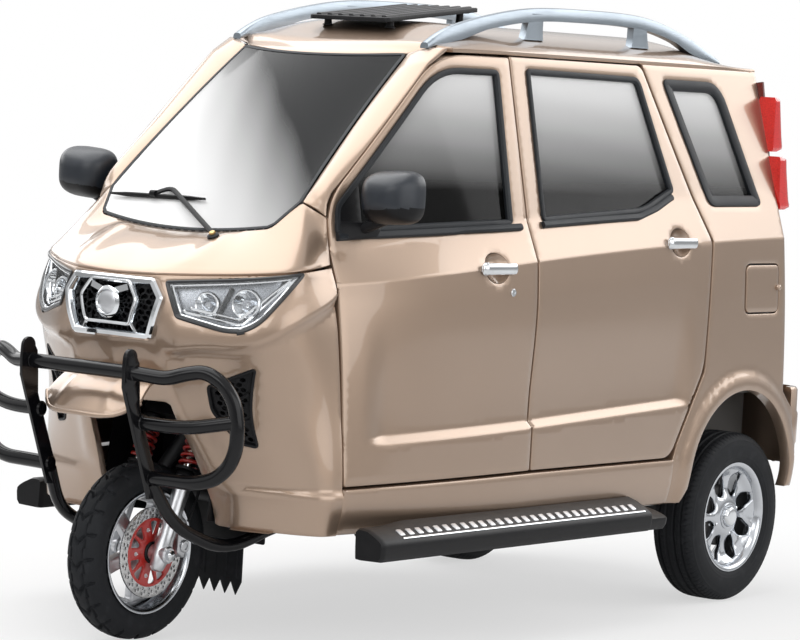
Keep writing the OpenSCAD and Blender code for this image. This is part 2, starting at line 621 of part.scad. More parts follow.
// half width of the root of the beak along the nose
beak_s = 0.22;
module front_beak() {
    n = 14;
    m = 5;
    rows = [[150, -1214, 736, 26], [158, -1276, 690, 20], [150, -1330, 628, 14], [138, -1362, 580, 10]];
    function pt(u, v) = let (r = spline(rows, v), z = r[2] - r[3] * u * u)
        v == 0 ? nose_in(beak_s * u, z, -seam) : [r[0] * u, r[1] + 36 * u * u, z];
    g = [for (i = [0:n]) [for (j = [0:m]) pt(lerp(1, -1, i / n), j / m)]];
    color(paint) sheet(g, [for (row = g) [for (j = [0:m]) row[j] + [0, beak_t * 0.6 * min(1, j),
        -beak_t]]]);
}

// Frame rails
rail_x = 280;
rail_h = 60;
rail_w = 40;
rail_top = floor_z - seam;
// Bull bar: two uprights, a cross tube, side hoops and stays back to the frame
bull_x = 177;
hoop_x = 340;
upright_w = 46;
upright_t = 10;
bull_top = [front_y + upright_w / 2, 790];
bull_low = [-1240, 400];
function bull_y(z) = lerp(bull_low.x, bull_top.x, (z - bull_low.y) / (bull_top.y - bull_low.y));
stay_d = bull_d - 6;
stay_z = rail_top - rail_h - seam - stay_d / 2;
module bull_bar() {
    hoop = [[bull_x, bull_y(726), 726], [hoop_x - 40, -1300, 730], [hoop_x, -1284, 690],
        [hoop_x + 6, -1262, 600],
        [hoop_x, -1250, 520], [hoop_x - 46, -1248, 476], [bull_x, bull_y(470), 468]];
    color(black) {
        both_sides() {
            translate([bull_x, 0, 0]) rotate([90, 0, 90]) linear_extrude(upright_t, center = true) polygon([
                [bull_top.x - 12, bull_top.y], [bull_top.x + 12, bull_top.y],
                    [bull_top.x + 23, bull_top.y - 20],
                [bull_low.x + 23, bull_low.y], [bull_low.x - 23, bull_low.y],
                    [bull_top.x - 23, bull_top.y - 20]]);
            tube_path(hoop, bull_d);
            bar([bull_x, bull_y(600), 600], [hoop_x + 6, -1262, 600], bull_d);
            tube_path([[bull_x, bull_y(430), 430], [bull_x + 24, -1180, 330], [bull_x + 52, -1010, 252],
                [rail_x, -850, stay_z], [rail_x, -700, stay_z]], stay_d);
        }
        bar([-bull_x, bull_y(726), 726], [bull_x, bull_y(726), 726], bull_d);
    }
}

// Running boards on brackets from the frame rails
board_in_x = body_half_w - 24;
board_low_z = 262;
board_top_z = sill_z - 4;
module running_boards() {
    color(black) both_sides() {
        translate([0, -861, 0]) rotate([-90, 0, 0]) linear_extrude(1469) polygon([
            [board_in_x, -board_low_z - 10], [board_in_x, -board_top_z],
                [board_in_x + board_w - 14, -board_top_z],
            [board_in_x + board_w, -board_top_z + 12], [board_in_x + board_w - 6, -board_low_z],
            [board_in_x + 20, -board_low_z]]);
        for (y = [-560, 420]) translate([rail_x + rail_w / 2 + seam, y, board_low_z + 14]) {
            cube([board_in_x - rail_x - rail_w / 2 - seam + 4, 44, 24]);
            cube([10, 44, rail_top - board_low_z - 24]);
        }
    }
}

// Roof rails: side profile with two legs and feet on the roof
rail_line_x = 330;
module roof_rails() {
    top = [[-416, 1606], [-280, 1664], [25, 1720], [320, 1733], [641, 1727], [880, 1680], [1062, 1616]];
    n = 24;
    upper = [for (k = [0:n]) spline(top, k / n)];
    lower = [for (k = [n:-1:0]) let (p = spline(top, k / n)) [p.x, p.y - 4 - 30 * ease(min(k, n - k) / 4)]];
    module rail() {
        polygon(concat(upper, lower));
        for (y = [83, 622]) let (foot = roof_height(rail_line_x - rail_t / 2, y) + seam)
            polygon([[y - 26, foot], [y + 26, foot], [y + 16, foot + 74], [y - 16, foot + 74]]);
    }
    color([0.62, 0.65, 0.68]) both_sides() translate([rail_line_x, 0, 0]) rotate([90, 0, 90])
        linear_extrude(rail_t, center = true) rail();
}
// Panel over the roof on four feet
hatch_half_w = 200;
hatch_foot_x = 150;
hatch_lift = 3;
hatch_front = [-367, 1660];
hatch_back = [233, 1726];
module roof_hatch() {
    lean = atan2(hatch_back.y - hatch_front.y, hatch_back.x - hatch_front.x);
    color(black) {
        translate([0, hatch_front.x, hatch_front.y]) rotate([lean, 0, 0])
            translate([-hatch_half_w, 0, 0]) cube([2 * hatch_half_w, norm(hatch_back - hatch_front), 14]);
        both_sides() for (t = [0.12, 0.88]) let (y = lerp(hatch_front.x, hatch_back.x, t))
            translate([hatch_foot_x, y, roof_height(hatch_foot_x, y) + hatch_lift]) cylinder(d = 22,
                h = lerp(hatch_front.y, hatch_back.y, t) + 4 - roof_height(hatch_foot_x, y) - hatch_lift);
    }
}

// Tail lamps: two lobes on each rear corner, deeper towards their feet
lamp_lift = 13;
module tail_lamps() {
    // columns: inner x, width, z of the foot, z of the head, depth at the foot, depth at the head
    lobes = [[392, 52, 1386, 1538, 56, 8], [418, 62, 1204, 1364, 58, 26]];
    color([0.7, 0.05, 0.06]) both_sides() for (b = lobes) let (y = back_mid(b[2]) + lamp_lift,
        h = b[3] - b[2])
        translate([b[0], y, b[2]]) rotate([90, 0, 90]) linear_extrude(b[1])
            polygon([[0, 0], [b[4] - 8, 0], [b[4], 10], [b[5] + 6, h - 12], [b[5], h], [0, h]]);
}
// Rear guard: two cross tubes on brackets
module rear_guard() {
    y = back_y - guard_d / 2;
    color(black) {
        for (z = [600, 408]) translate([0, y, z]) rotate([0, 90, 0]) cylinder(d = guard_d, h = 900,
            center = true);
        both_sides() {
            bar([300, y, 408], [300, y, 600], guard_d);
            bar([300, bumper_back_y + seam, 520], [300, y, 520], guard_d);
        }
    }
}

// Frame: rails, cross tubes, backbone to the steering head, tow eye
engine_front_y = -216;
engine_back_y = 132;
cross_ys = [-820, engine_front_y - 20, engine_back_y + 20, 560, 1268];
frame_front_y = -838;
frame_back_y = 1292;
axis_origin = [0, front_axle_y + fork_offset * cos(rake), front_axle_z - fork_offset * sin(rake)];
axis_dir = [0, sin(rake), cos(rake)];
head_start = 400;
head_d = stem_d + 22;
tow_plate_y = 1268;
tow_y = 1316;
tow_z = rail_top - rail_h / 2 - 40;
tow_t = 8;
module on_steering_axis(h) translate(axis_origin + axis_dir * h) rotate([-rake, 0, 0]) children();
module chassis_frame() {
    neck = axis_origin + axis_dir * (head_start + head_l / 2);
    elbow = [0, -815, 640];
    color([0.12, 0.12, 0.13]) difference() {
        union() {
            both_sides() {
                translate([rail_x - rail_w / 2, frame_front_y, rail_top - rail_h])
                    cube([rail_w, frame_back_y - frame_front_y, rail_h]);
                bar(elbow, [200, -822, rail_top - rail_h / 2], 40);
                for (y = spring_ys) translate([rail_x - leaf_w / 2 - seam - 6, y - 16,
                    spring_eye_z - 14]) cube([6, 32, 60]);
                for (y = spring_ys) translate([rail_x + leaf_w / 2 + seam, y - 16, spring_eye_z - 14])
                    cube([6, 32, 60]);
            }
            for (y = cross_ys) translate([0, y, rail_top - rail_h / 2]) rotate([0, 90, 0])
                cylinder(d = 40, h = 2 * rail_x, center = true);
            bar(neck, elbow, 46);
            on_steering_axis(head_start) cylinder(d = head_d, h = head_l);
            translate([-tow_t / 2, tow_plate_y, tow_z - 26]) cube([tow_t, tow_y + 24 - tow_plate_y, 60]);
        }
        on_steering_axis(head_start - 1) cylinder(d = stem_d + 2 * run_fit, h = head_l + 2);
        translate([0, tow_y, tow_z]) rotate([0, 90, 0]) cylinder(d = tow_d, h = 40, center = true);
    }
}
// Floor with rear wheel boxes and the opening over the engine
floor_half_w = body_half_w - sill_depth - 2.4;
floor_front_y = -790;
floor_back_y = 1256;
box_in_x = 376;
box_out_x = body_half_w - wall_t - 6;
box_front_y = arch_y - arch_r - 4;
box_top_z = 632;
module floor_pan() {
    color([0.35, 0.33, 0.31]) difference() {
        union() {
            translate([0, 0, floor_z]) linear_extrude(floor_t) polygon([
                for (s = [-1, 1]) each let (front = floor_half_w - front_taper(floor_front_y),
                    c = [[front, floor_front_y], [floor_half_w, door_split_y],
                        [floor_half_w, floor_back_y]])
                    [for (k = [0:2]) let (q = c[s < 0 ? k : 2 - k]) [s * q.x, q.y]]]);
            both_sides() translate([box_in_x, box_front_y, floor_z])
                cube([box_out_x - box_in_x, floor_back_y - box_front_y, box_top_z - floor_z]);
        }
        both_sides() translate([box_in_x + floor_t, box_front_y + floor_t, floor_z - 1])
            cube([body_half_w, floor_back_y - box_front_y, box_top_z - floor_t - floor_z + 1]);
        translate([-190, engine_front_y - 30, floor_z - 1])
            cube([380, engine_back_y - engine_front_y + 60, floor_t + 2]);
    }
}
module engine() {
    color([0.3, 0.3, 0.31]) {
        translate([-170, engine_front_y + seam, 290])
            cube([340, engine_back_y - engine_front_y - 2 * seam, 250]);
        translate([-110, engine_front_y + 60, 540]) cube([220, 200, 60]);
    }
}

// Rear axle: tube, differential, backing plates and stub axles for the wheels
axle_tube_d = 62;
plate_x = rear_wheel_x - 84;
stub_end = rear_wheel_x + 48;
module rear_axle() {
    color([0.16, 0.16, 0.17]) translate([0, rear_axle_y, rear_axle_z]) {
        rotate([0, 90, 0]) cylinder(d = axle_tube_d, h = 2 * plate_x, center = true);
        rotate([0, 90, 0]) cylinder(d = 190, h = 120, center = true);
        translate([30, 0, 0]) rotate([90, 0, 0]) cylinder(d1 = 120, d2 = 60, h = 190);
        both_sides() {
            translate([plate_x - 8, 0, 0]) rotate([0, 90, 0]) cylinder(d = 210, h = 8);
            translate([plate_x - 1, 0, 0]) rotate([0, 90, 0]) cylinder(d = stub_d, h = stub_end - plate_x);
        }
    }
}
// Leaf springs over the axle tube, hung from the rails
spring_ys = [rear_axle_y - 290, rear_axle_y + 290];
spring_eye_z = 318;
leaf_n = 4;
leaf_t = 7;
leaf_w = 34;
module leaf_springs() {
    seat = rear_axle_z + axle_tube_d / 2 + seam;
    color([0.14, 0.14, 0.15]) both_sides() translate([rail_x, rear_axle_y, 0]) rotate([90, 0, 90])
        linear_extrude(leaf_w, center = true) {
            for (k = [0:leaf_n - 1]) let (l = 290 - 62 * k, z = seat + leaf_t * (leaf_n - 1 - k), n = 8)
                polygon(concat([for (i = [-n:n]) [l * i / n, z + 20 * pow(l / 290 * i / n, 2) * 0.6]],
                    [for (i = [n:-1:-n]) [l * i / n, z + leaf_t + 0.1 + 20 * pow(l / 290 * i / n,
                        2) * 0.6]]));
            for (s = [-1, 1]) translate([s * 290, seat + leaf_t * leaf_n + 8]) circle(d = 26);
        }
}

// Seats: hollow base, cushion and back as one side profile
seat_base_z = floor_z + floor_t + seam;
cushion_z = 640;
cushion_t = 92;
module seat_profile(depth, back_h, lean) {
    r = 26;
    polygon([[0, r], [r, 0], [depth, 0], [depth + 96, 30], [depth + 96 + lean, back_h - r],
        [depth + 70 + lean, back_h],
        [depth + 24 + lean, back_h], [depth + lean, back_h - r], [depth, cushion_t + 8], [r, cushion_t],
            [0, cushion_t - r]]);
}
module seat_base(half_w, front, depth, top) translate([-half_w, front, seat_base_z]) difference() {
    cube([2 * half_w, depth, top - seat_base_z]);
    translate([12, 12, -1]) cube([2 * half_w - 24, depth - 24, top - seat_base_z - 9]);
}
module seat_pad(w, front, depth, back_h, lean) translate([-w / 2, front, cushion_z + seam])
    rotate([90, 0, 90])
    linear_extrude(w) seat_profile(depth, back_h, lean);
module driver_seat() {
    color([0.2, 0.2, 0.21]) {
        seat_base(seat_w / 2 - 20, engine_front_y - 54, engine_back_y - engine_front_y + 108, cushion_z);
        seat_pad(seat_w, engine_front_y - 110, 420, 600, 90);
    }
}
bench_y = 580;
module passenger_bench() {
    color([0.2, 0.2, 0.21]) {
        seat_base(box_in_x - 8, bench_y, 380, box_top_z);
        translate([0, 0, box_top_z - cushion_z]) seat_pad(bench_w, bench_y - 40, 400, 570, 80);
    }
}
// Dashboard on a bulkhead behind the front wheel
dash_half_w = 350;
dash_z = 900;
stem_room = 70;
module dashboard() {
    shelf = [[-42, 20], [4, 12], [4, 0], [-60, 0]];
    cowl = [[-145, 30], [-135, 120], [-90, 140], [-50, 110], [-42, 20], [-60, 0]];
    color(black) {
        both_sides() {
            translate([stem_room, floor_front_y, floor_z + floor_t + seam])
                cube([dash_half_w - stem_room, 8, 530]);
            translate([stem_room, floor_front_y, dash_z]) rotate([90, 0, 90])
                linear_extrude(dash_half_w - stem_room)
                polygon(shelf);
        }
        translate([-dash_half_w, floor_front_y, dash_z]) rotate([90, 0, 90]) linear_extrude(2 * dash_half_w)
            polygon(cowl);
    }
}
// Wiper: pivot on the hood, arm and blade along the glass
module wiper() {
    foot = [160, -1042, 1076];
    elbow = [-100, -918, 1180];
    tip_a = [-300, -936, 1156];
    tip_b = [36, -938, 1162];
    color(black) {
        tube_path([foot, elbow, lerp(tip_a, tip_b, 0.47) + [0, -2, 2]], 9);
        bar(tip_a, tip_b, 12);
    }
}
// Flap behind the front wheel with a saw-tooth edge
flap_half_w = 112;
module mud_flap() {
    teeth = 6;
    pitch = 2 * flap_half_w / teeth;
    color(rubber) translate([0, floor_front_y - seam, 0]) rotate([90, 0, 0]) linear_extrude(5)
        polygon(concat([[-flap_half_w, floor_z + floor_t], [-flap_half_w, 140]],
            [for (k = [0:teeth - 1]) each [[-flap_half_w + pitch * (k + 0.5), 104],
                [-flap_half_w + pitch * (k + 1), 140]]],
            [[flap_half_w, floor_z + floor_t]]));
}

// Fork: stem, two clamps, legs and axle
clamp_t = 30;
clamp_low = head_start - clamp_t - seam;
module on_axle() translate([0, front_axle_y, front_axle_z]) rotate([-rake, 0, 0]) children();
leg_foot = 46;
module fork() {
    clamp_high = head_start + head_l + seam;
    color(silver) {
        on_steering_axis(clamp_low) cylinder(d = stem_d, h = 860 - clamp_low);
        on_axle() {
            for (h = [clamp_low, clamp_high]) translate([0, 0, h])
                linear_extrude(h == clamp_low ? clamp_t : 22)
                hull() {
                    for (s = [-1, 1]) translate([s * fork_w / 2, 0]) circle(d = fork_leg_d + 14);
                    translate([0, fork_offset]) circle(d = stem_d + 20);
                }
            for (s = [-1, 1]) translate([s * fork_w / 2, 0, -leg_foot]) {
                cylinder(d = fork_leg_d, h = clamp_high + 22 + leg_foot);
                cylinder(d = fork_leg_d + 10, h = 220);
            }
            rotate([0, 90, 0]) cylinder(d = front_axle_d, h = fork_w, center = true);
        }
    }
}
module handlebar() {
    top = axis_origin + axis_dir * 860;
    color(black) {
        translate(top + [0, 0, seam]) rotate([-rake, 0, 0]) cylinder(d = stem_d + 16, h = 34);
        both_sides() tube_path([top + [0, 6, 22], top + [90, 6, 60], top + [190, 40, 72],
            top + [bar_w / 2, 110, 62]], bar_d);
    }
}
// Front wheel
module front_tyre() {
    r = front_tyre_d / 2;
    b = rim_d / 2;
    w = front_tyre_w / 2;
    color(rubber) translate([0, front_axle_y, front_axle_z]) rotate([0, 90, 0]) rotate_extrude($fn = 96)
        polygon([
        [b + seam, -w * 0.72], [b + 14, -w * 0.86], [b + 34, -w], [r - 26, -w * 0.94],
            [r - 10, -w * 0.66], [r, -w * 0.3],
        [r, w * 0.3], [r - 10, w * 0.66], [r - 26, w * 0.94], [b + 34, w], [b + 14, w * 0.86],
            [b + seam, w * 0.72]]);
}
spoke_n = 5;
disc_x = 46;
module front_rim() {
    b = rim_d / 2;
    w = front_tyre_w / 2;
    hub_d = 64;
    color(silver) translate([0, front_axle_y, front_axle_z]) rotate([0, 90, 0]) difference() {
        union() {
            rotate_extrude($fn = 96) polygon([[b - 16, -w * 0.8], [b, -w * 0.8], [b, w * 0.8],
                [b - 16, w * 0.8],
                [b - 10, w * 0.5], [b - 22, 0], [b - 10, -w * 0.5]]);
            cylinder(d = hub_d, h = 2 * (disc_x - seam), center = true);
            for (k = [0:spoke_n - 1]) rotate(360 / spoke_n * k) translate([hub_d / 2 - 4, 0, 0])
                rotate([90, 0, 0]) linear_extrude(30, center = true)
                    polygon([[0, -26], [b - 44, -14], [b - 44, 14], [0, 26]]);
        }
        cylinder(d = front_axle_d + 2 * run_fit, h = 200, center = true);
    }
}
module brake_disc() {
    color([0.55, 0.56, 0.58]) translate([disc_x, front_axle_y, front_axle_z]) rotate([0, 90, 0])
        difference() {
        union() {
            difference() {
                cylinder(d = disc_d, h = disc_t);
                translate([0, 0, -1]) cylinder(d = disc_d - 64, h = disc_t + 2);
                for (k = [0:23]) rotate(15 * k) translate([disc_d / 2 - 16 + 8 * (k % 2 - 0.5), 0, -1])
                    cylinder(d = 7, h = disc_t + 2);
            }
            for (k = [0:4]) rotate(72 * k) translate([30, -9, 0]) cube([disc_d / 2 - 58, 18, disc_t]);
            cylinder(d = 80, h = disc_t);
        }
        translate([0, 0, -1]) cylinder(d = front_axle_d + 4, h = disc_t + 2);
    }
}

// Rear wheels: tyre and rim with petal openings, on the left; the right is a mirror image
module rear_tyre() {
    r = rear_tyre_d / 2;
    b = rim_d / 2;
    w = rear_tyre_w / 2;
    color(rubber) translate([rear_wheel_x, rear_axle_y, rear_axle_z]) rotate([0, 90, 0])
        rotate_extrude($fn = 96)
        polygon([[b + seam, -w * 0.78], [b + 16, -w * 0.9], [b + 46, -w], [r - 26, -w * 0.92],
            [r - 8, -w * 0.8],
            [r, -w * 0.6], [r, w * 0.6], [r - 8, w * 0.8], [r - 26, w * 0.92], [b + 46, w],
                [b + 16, w * 0.9],
            [b + seam, w * 0.78]]);
}
face_x = 30;
module rear_rim() {
    b = rim_d / 2;
    w = rear_tyre_w / 2;
    petal_in = 56;
    petal_out = b - 30;
    color(silver) translate([rear_wheel_x, rear_axle_y, rear_axle_z]) rotate([0, 90, 0]) difference() {
        union() {
            rotate_extrude($fn = 96) polygon([[b - 22, -w * 0.84], [b, -w * 0.84], [b, w * 0.84],
                [b - 12, w * 0.84],
                [b - 20, w * 0.5], [b - 34, w * 0.2], [b - 34, -w * 0.2], [b - 10, -w * 0.6]]);
            translate([0, 0, face_x - 10]) cylinder(r = b - 14, h = 12);
            translate([0, 0, -28]) cylinder(d = 130, h = face_x + 34);
            translate([0, 0, plate_x - rear_wheel_x + 3]) cylinder(d = 186,
                h = rear_wheel_x - plate_x + face_x - 12);
            for (k = [0:3]) rotate(90 * k + 45) translate([nut_pcd / 2, 0, face_x - 4])
                cylinder(d = nut_d, h = 22, $fn = 6);
        }
        for (k = [0:petal_n - 1]) rotate(360 / petal_n * (k + 0.5)) translate([0, 0, face_x - 12])
            linear_extrude(20)
            polygon([[petal_in + 14, 0], [petal_in + 30, -16], [petal_out - 8, -30], [petal_out, -20],
                [petal_out, 20],
                [petal_out - 8, 30], [petal_in + 30, 16]]);
        translate([0, 0, plate_x - rear_wheel_x]) cylinder(d = stub_d + 2 * run_fit,
            h = rear_wheel_x - plate_x + 60);
    }
}
module rear_tyre_left() rear_tyre();
module rear_tyre_right() mirror([1, 0, 0]) rear_tyre();
module rear_rim_left() rear_rim();
module rear_rim_right() mirror([1, 0, 0]) rear_rim();

// Fuel flap on the left quarter
flap_y = 950;
flap_z = 872;
flap_t = 4.2;
flap_lift = 1.2;
module fuel_flap() {
    o = outline([[flap_y, flap_z, 22], [flap_y + flap_l, flap_z, 22], [flap_y + flap_l, flap_z + flap_h,
        22],
        [flap_y, flap_z + flap_h, 22]]);
    c = middle(o);
    g = [for (p = o) [for (j = [0:1]) lerp(p, c, j * 0.5)]];
    color(paint) dish(side_grid(g, -flap_lift - flap_t), side_grid(g, -flap_lift),
        on_side(c, -flap_lift - flap_t), on_side(c, -flap_lift));
}

chassis_frame();
floor_pan();
nose_shell();
hood();
windscreen();
a_pillars();
roof_shell();
b_posts();
sills();
quarter_left();
quarter_right();
quarter_glass();
rear_shell();
rear_bumper();
headlamps();
grille();
front_beak();
side_vents();
bull_bar();
running_boards();
roof_rails();
roof_hatch();
tail_lamps();
rear_guard();
rear_axle();
leaf_springs();
engine();
driver_seat();
passenger_bench();
dashboard();
wiper();
mud_flap();
fork();
handlebar();
front_tyre();
front_rim();
brake_disc();
rear_tyre_left();
rear_rim_left();
rear_tyre_right();
rear_rim_right();
door_front_left();
glass_front_left();
handle_front_left();
mirror_left();
door_front_right();
glass_front_right();
handle_front_right();
mirror_right();
door_rear_left();
glass_rear_left();
handle_rear_left();
door_rear_right();
glass_rear_right();
handle_rear_right();
tailgate();
tailgate_glass();
fuel_flap();
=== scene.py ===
# %% [markdown]
# An enclosed passenger three-wheeler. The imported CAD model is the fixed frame: it says where every part is
# and which body it moves with. Each later cell makes one finer piece, in the same place and on the same
# body.

# %% Load the frame
import bpy
import numpy as np
from mathutils import Matrix, Vector
from mathutils.geometry import delaunay_2d_cdt


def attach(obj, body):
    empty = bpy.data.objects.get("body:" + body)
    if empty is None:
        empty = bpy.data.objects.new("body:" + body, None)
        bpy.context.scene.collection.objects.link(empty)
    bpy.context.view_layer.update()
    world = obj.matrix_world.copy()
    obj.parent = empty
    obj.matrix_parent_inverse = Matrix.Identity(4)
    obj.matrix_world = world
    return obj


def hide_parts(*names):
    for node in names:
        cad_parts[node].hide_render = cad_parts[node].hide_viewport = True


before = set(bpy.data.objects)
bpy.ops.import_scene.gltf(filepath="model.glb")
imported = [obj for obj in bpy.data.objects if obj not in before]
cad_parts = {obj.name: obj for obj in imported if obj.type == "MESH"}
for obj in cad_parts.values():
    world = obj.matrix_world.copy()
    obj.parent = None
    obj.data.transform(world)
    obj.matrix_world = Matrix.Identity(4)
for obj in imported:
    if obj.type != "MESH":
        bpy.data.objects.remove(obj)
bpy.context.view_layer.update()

MM = 0.001
scene = bpy.context.scene

# %% [markdown]
# The camera stands where the photographer stood: about ten metres off the front left corner, a little above
# the bonnet, with a long lens and the slight roll of a hand-held shot.

# %% Camera
def unit(v):
    """Vectors of length one."""
    return v / np.maximum(np.linalg.norm(v, axis=-1, keepdims=True), 1e-12)

def stand_camera(place, azimuth, pitch, roll, focal_px, centre_px):
    """Camera from its place, three angles and a focal length in pixels of an 800 x 640 picture."""
    a, e, r = np.radians([azimuth, pitch, roll])
    ahead = np.array([-np.sin(a) * np.cos(e), np.cos(a) * np.cos(e), -np.sin(e)])
    right = np.array([np.cos(a), np.sin(a), 0.0])
    up = np.cross(right, ahead)
    right, up = right * np.cos(r) + up * np.sin(r), up * np.cos(r) - right * np.sin(r)
    data = bpy.data.cameras.new("photo_camera")
    data.sensor_width = 36.0
    data.lens = focal_px * data.sensor_width / 800
    data.shift_x = (400 - centre_px[0]) / 800
    data.shift_y = (centre_px[1] - 320) / 800
    data.clip_end = 200
    cam = bpy.data.objects.new("photo_camera", data)
    turn = np.eye(4)
    turn[:3, :4] = np.stack([right, up, -ahead, np.array(place) * MM], 1)
    cam.matrix_world = Matrix(turn.tolist())
    scene.collection.objects.link(cam)
    scene.camera = cam

stand_camera((6102.17, -8046.22, 1511.72), 37.24, 3.90, 3.34, 3539.06, (398.64, 318.60))
scene.view_settings.view_transform = "Standard"

# %% [markdown]
# Shader maths reads better as expressions than as boxes and wires. `Val` wraps one socket, and its
# operators add the Math nodes. `Finish` is one material: a Principled shader with a few named ways to vary
# it.

# %% Shader helper
class Val:
    """A socket that can be added and multiplied like a number."""
    def __init__(self, finish, socket):
        self.finish, self.socket = finish, socket
    def op(self, operation, *others, clamp=False):
        return self.finish.node("Math", dict(operation=operation, use_clamp=clamp), self, *others)
    def __add__(self, o):
        return self.op("ADD", o)
    def __sub__(self, o):
        return self.op("SUBTRACT", o)
    def __rsub__(self, o):
        return self.finish.node("Math", dict(operation="SUBTRACT"), o, self)
    def __mul__(self, o):
        return self.op("MULTIPLY", o)
    def __pow__(self, o):
        return self.op("POWER", o)
    __radd__, __rmul__ = __add__, __mul__
    def wave(self):
        return self.op("SINE") * 0.5 + 0.5
    def ramp(self, low, high):
        """0 below low, 1 above high, smooth between."""
        return self.finish.node("MapRange", dict(interpolation_type="SMOOTHSTEP"), self, low, high)

class Finish:
    """One material, named for the piece of the vehicle that it covers."""
    def __init__(self, name, color, roughness=0.5, metallic=0.0, **sockets):
        self.mat = bpy.data.materials.new(name)
        self.mat.use_nodes = True
        self.tree = self.mat.node_tree
        self.shader = self.tree.nodes["Principled BSDF"]
        self.set(**{"Base Color": (*color, 1.0), "Roughness": roughness, "Metallic": metallic}, **sockets)
        self.mat.diffuse_color = (*color, 1.0)
    def set(self, **sockets):
        for key, value in sockets.items():
            self.link(self.shader.inputs[key.replace("_", " ")], value)
        return self
    def link(self, socket, value):
        if isinstance(value, Val):
            self.tree.links.new(value.socket, socket)
        else:
            socket.default_value = value
    def node(self, kind, settings, *inputs, out=0, **named):
        """Any node: its settings first, then the values or links of its sockets."""
        n = self.tree.nodes.new("ShaderNode" + kind)
        for key, value in settings.items():
            setattr(n, key, value)
        for k, value in enumerate(inputs):
            self.link(n.inputs[k], value)
        for key, value in named.items():
            self.link(n.inputs[key], value)
        return Val(self, n.outputs[out])
    def place(self):
        return self.node("TexCoord", {}, out="Object")
    def axes(self):
        """Object coordinates in metres as three values."""
        n = self.tree.nodes.new("ShaderNodeSeparateXYZ")
        self.link(n.inputs[0], self.place())
        return [Val(self, n.outputs[k]) for k in range(3)]
    def noise(self, scale, detail=3.0, stretch=(1, 1, 1)):
        v = self.node("Mapping", {}, self.place(), Scale=stretch)
        return self.node("TexNoise", {}, Vector=v, Scale=scale, Detail=detail)
    def cells(self, scale):
        return self.node("TexVoronoi", dict(feature="F1"), Vector=self.place(), Scale=scale)
    def mix(self, factor, a, b):
        """Colour a to colour b by a factor."""
        n = self.tree.nodes.new("ShaderNodeMix")
        n.data_type = "RGBA"
        for k, value in ((0, factor), (6, a), (7, b)):
            self.link(n.inputs[k], value if isinstance(value, Val) or k == 0 else (*value, 1.0))
        return Val(self, n.outputs[2])
    def bump(self, height, strength=0.2, distance=0.001):
        return self.set(Normal=self.node("Bump", {}, Strength=strength, Distance=distance, Height=height))

# %% [markdown]
# The body wears a champagne metallic lacquer: fine flakes under a clear coat, so faces turned up go nearly
# white and upright ones stay tan. Every other finish gets the grain that the real one shows at its own
# scale.

# %% Finishes
def lacquer(name, pale, deep):
    """Metallic lacquer: flake-sized colour change, slow clouds and a faint orange-peel."""
    f = Finish(name, pale, 0.32, 0.82, Coat_Weight=1.0, Coat_Roughness=0.04)
    flake = f.cells(2600.0).ramp(0.1, 0.75)
    cloud = f.noise(3.0, 2.0)
    f.set(Base_Color=f.mix(flake * 0.35 + cloud * 0.45, pale, deep), Roughness=0.30 + flake * 0.10)
    return f.bump(f.noise(420.0, 2.0), 0.04, 0.0004).mat

def moulded(name, color, roughness, grain=900.0, depth=0.25, **sockets):
    """Moulded plastic or rubber: fine leather-like grain and slightly uneven sheen."""
    f = Finish(name, color, roughness, **sockets)
    g = f.cells(grain)
    worn = f.noise(14.0, 4.0)
    lighter = tuple(min(1.0, c * 1.5 + 0.004) for c in color)
    f.set(Base_Color=f.mix(worn.ramp(0.45, 0.8) * 0.6, color, lighter),
        Roughness=roughness + (worn - 0.5) * 0.18)
    return f.bump(g + f.noise(grain * 1.7, 2.0) * 0.5, depth, 0.0004).mat

def metal(name, color, roughness, stretch=(1, 1, 1), scale=240.0, depth=0.08, **sockets):
    """Bare metal: streaks along the polishing direction and faint clouds of dullness."""
    f = Finish(name, color, roughness, 1.0, **sockets)
    streak = f.noise(scale, 3.0, stretch)
    cloud = f.noise(9.0, 3.0)
    duller = tuple(c * 0.82 for c in color)
    f.set(Base_Color=f.mix(cloud.ramp(0.35, 0.75) * 0.6, color, duller),
        Roughness=roughness + (streak - 0.5) * roughness * 0.6)
    return f.bump(streak, depth, 0.0003).mat

def painted(name, color, roughness, coat=0.0, scale=160.0, depth=0.1, dust=(0.25, 0.23, 0.2), dusty=0.15,
        **sockets):
    """Sprayed paint on steel: orange-peel bump and road dust that gathers in clouds."""
    f = Finish(name, color, roughness, Coat_Weight=coat, Coat_Roughness=0.08, **sockets)
    cloud = f.noise(6.0, 5.0)
    f.set(Base_Color=f.mix(cloud.ramp(0.5, 0.85) * dusty, color, dust),
        Roughness=roughness + (cloud - 0.5) * 0.15)
    return f.bump(f.noise(scale, 3.0), depth, 0.0006).mat

PAINT = lacquer("champagne_lacquer", (0.385, 0.28, 0.208), (0.325, 0.232, 0.168))
SEAL = moulded("window_seal_rubber", (0.012, 0.014, 0.017), 0.5, Specular_IOR_Level=0.3)
TRIM = moulded("black_moulding", (0.006, 0.006, 0.007), 0.40, Specular_IOR_Level=0.2)
# Bluish dark grey for the top of the mirror housing: a painted sheen on black plastic.
SHEEN_PAINTED_SHELL = moulded("mirror_shell_painted_sheen", (0.014, 0.018, 0.025), 0.34)
BAR = painted("bull_bar_enamel", (0.004, 0.004, 0.005), 0.15, 0.0, 220.0, 0.03, dusty=0.02,
    Specular_IOR_Level=0.28)
FRAME = painted("frame_enamel", (0.025, 0.025, 0.028), 0.5, 0.0)
FLOOR = painted("floor_plate_paint", (0.10, 0.095, 0.09), 0.7)
IRON = painted("cast_axle_iron", (0.035, 0.034, 0.034), 0.62, 0.0, 90.0, 0.35)
SPRING = metal("leaf_spring_steel", (0.16, 0.16, 0.17), 0.45)
CHROME = metal("bright_chrome", (0.70, 0.72, 0.74), 0.06, depth=0.02)
ALLOY = metal("polished_wheel_alloy", (0.55, 0.57, 0.60), 0.14, depth=0.04)
SATIN = metal("cast_fork_alloy", (0.60, 0.61, 0.63), 0.34)
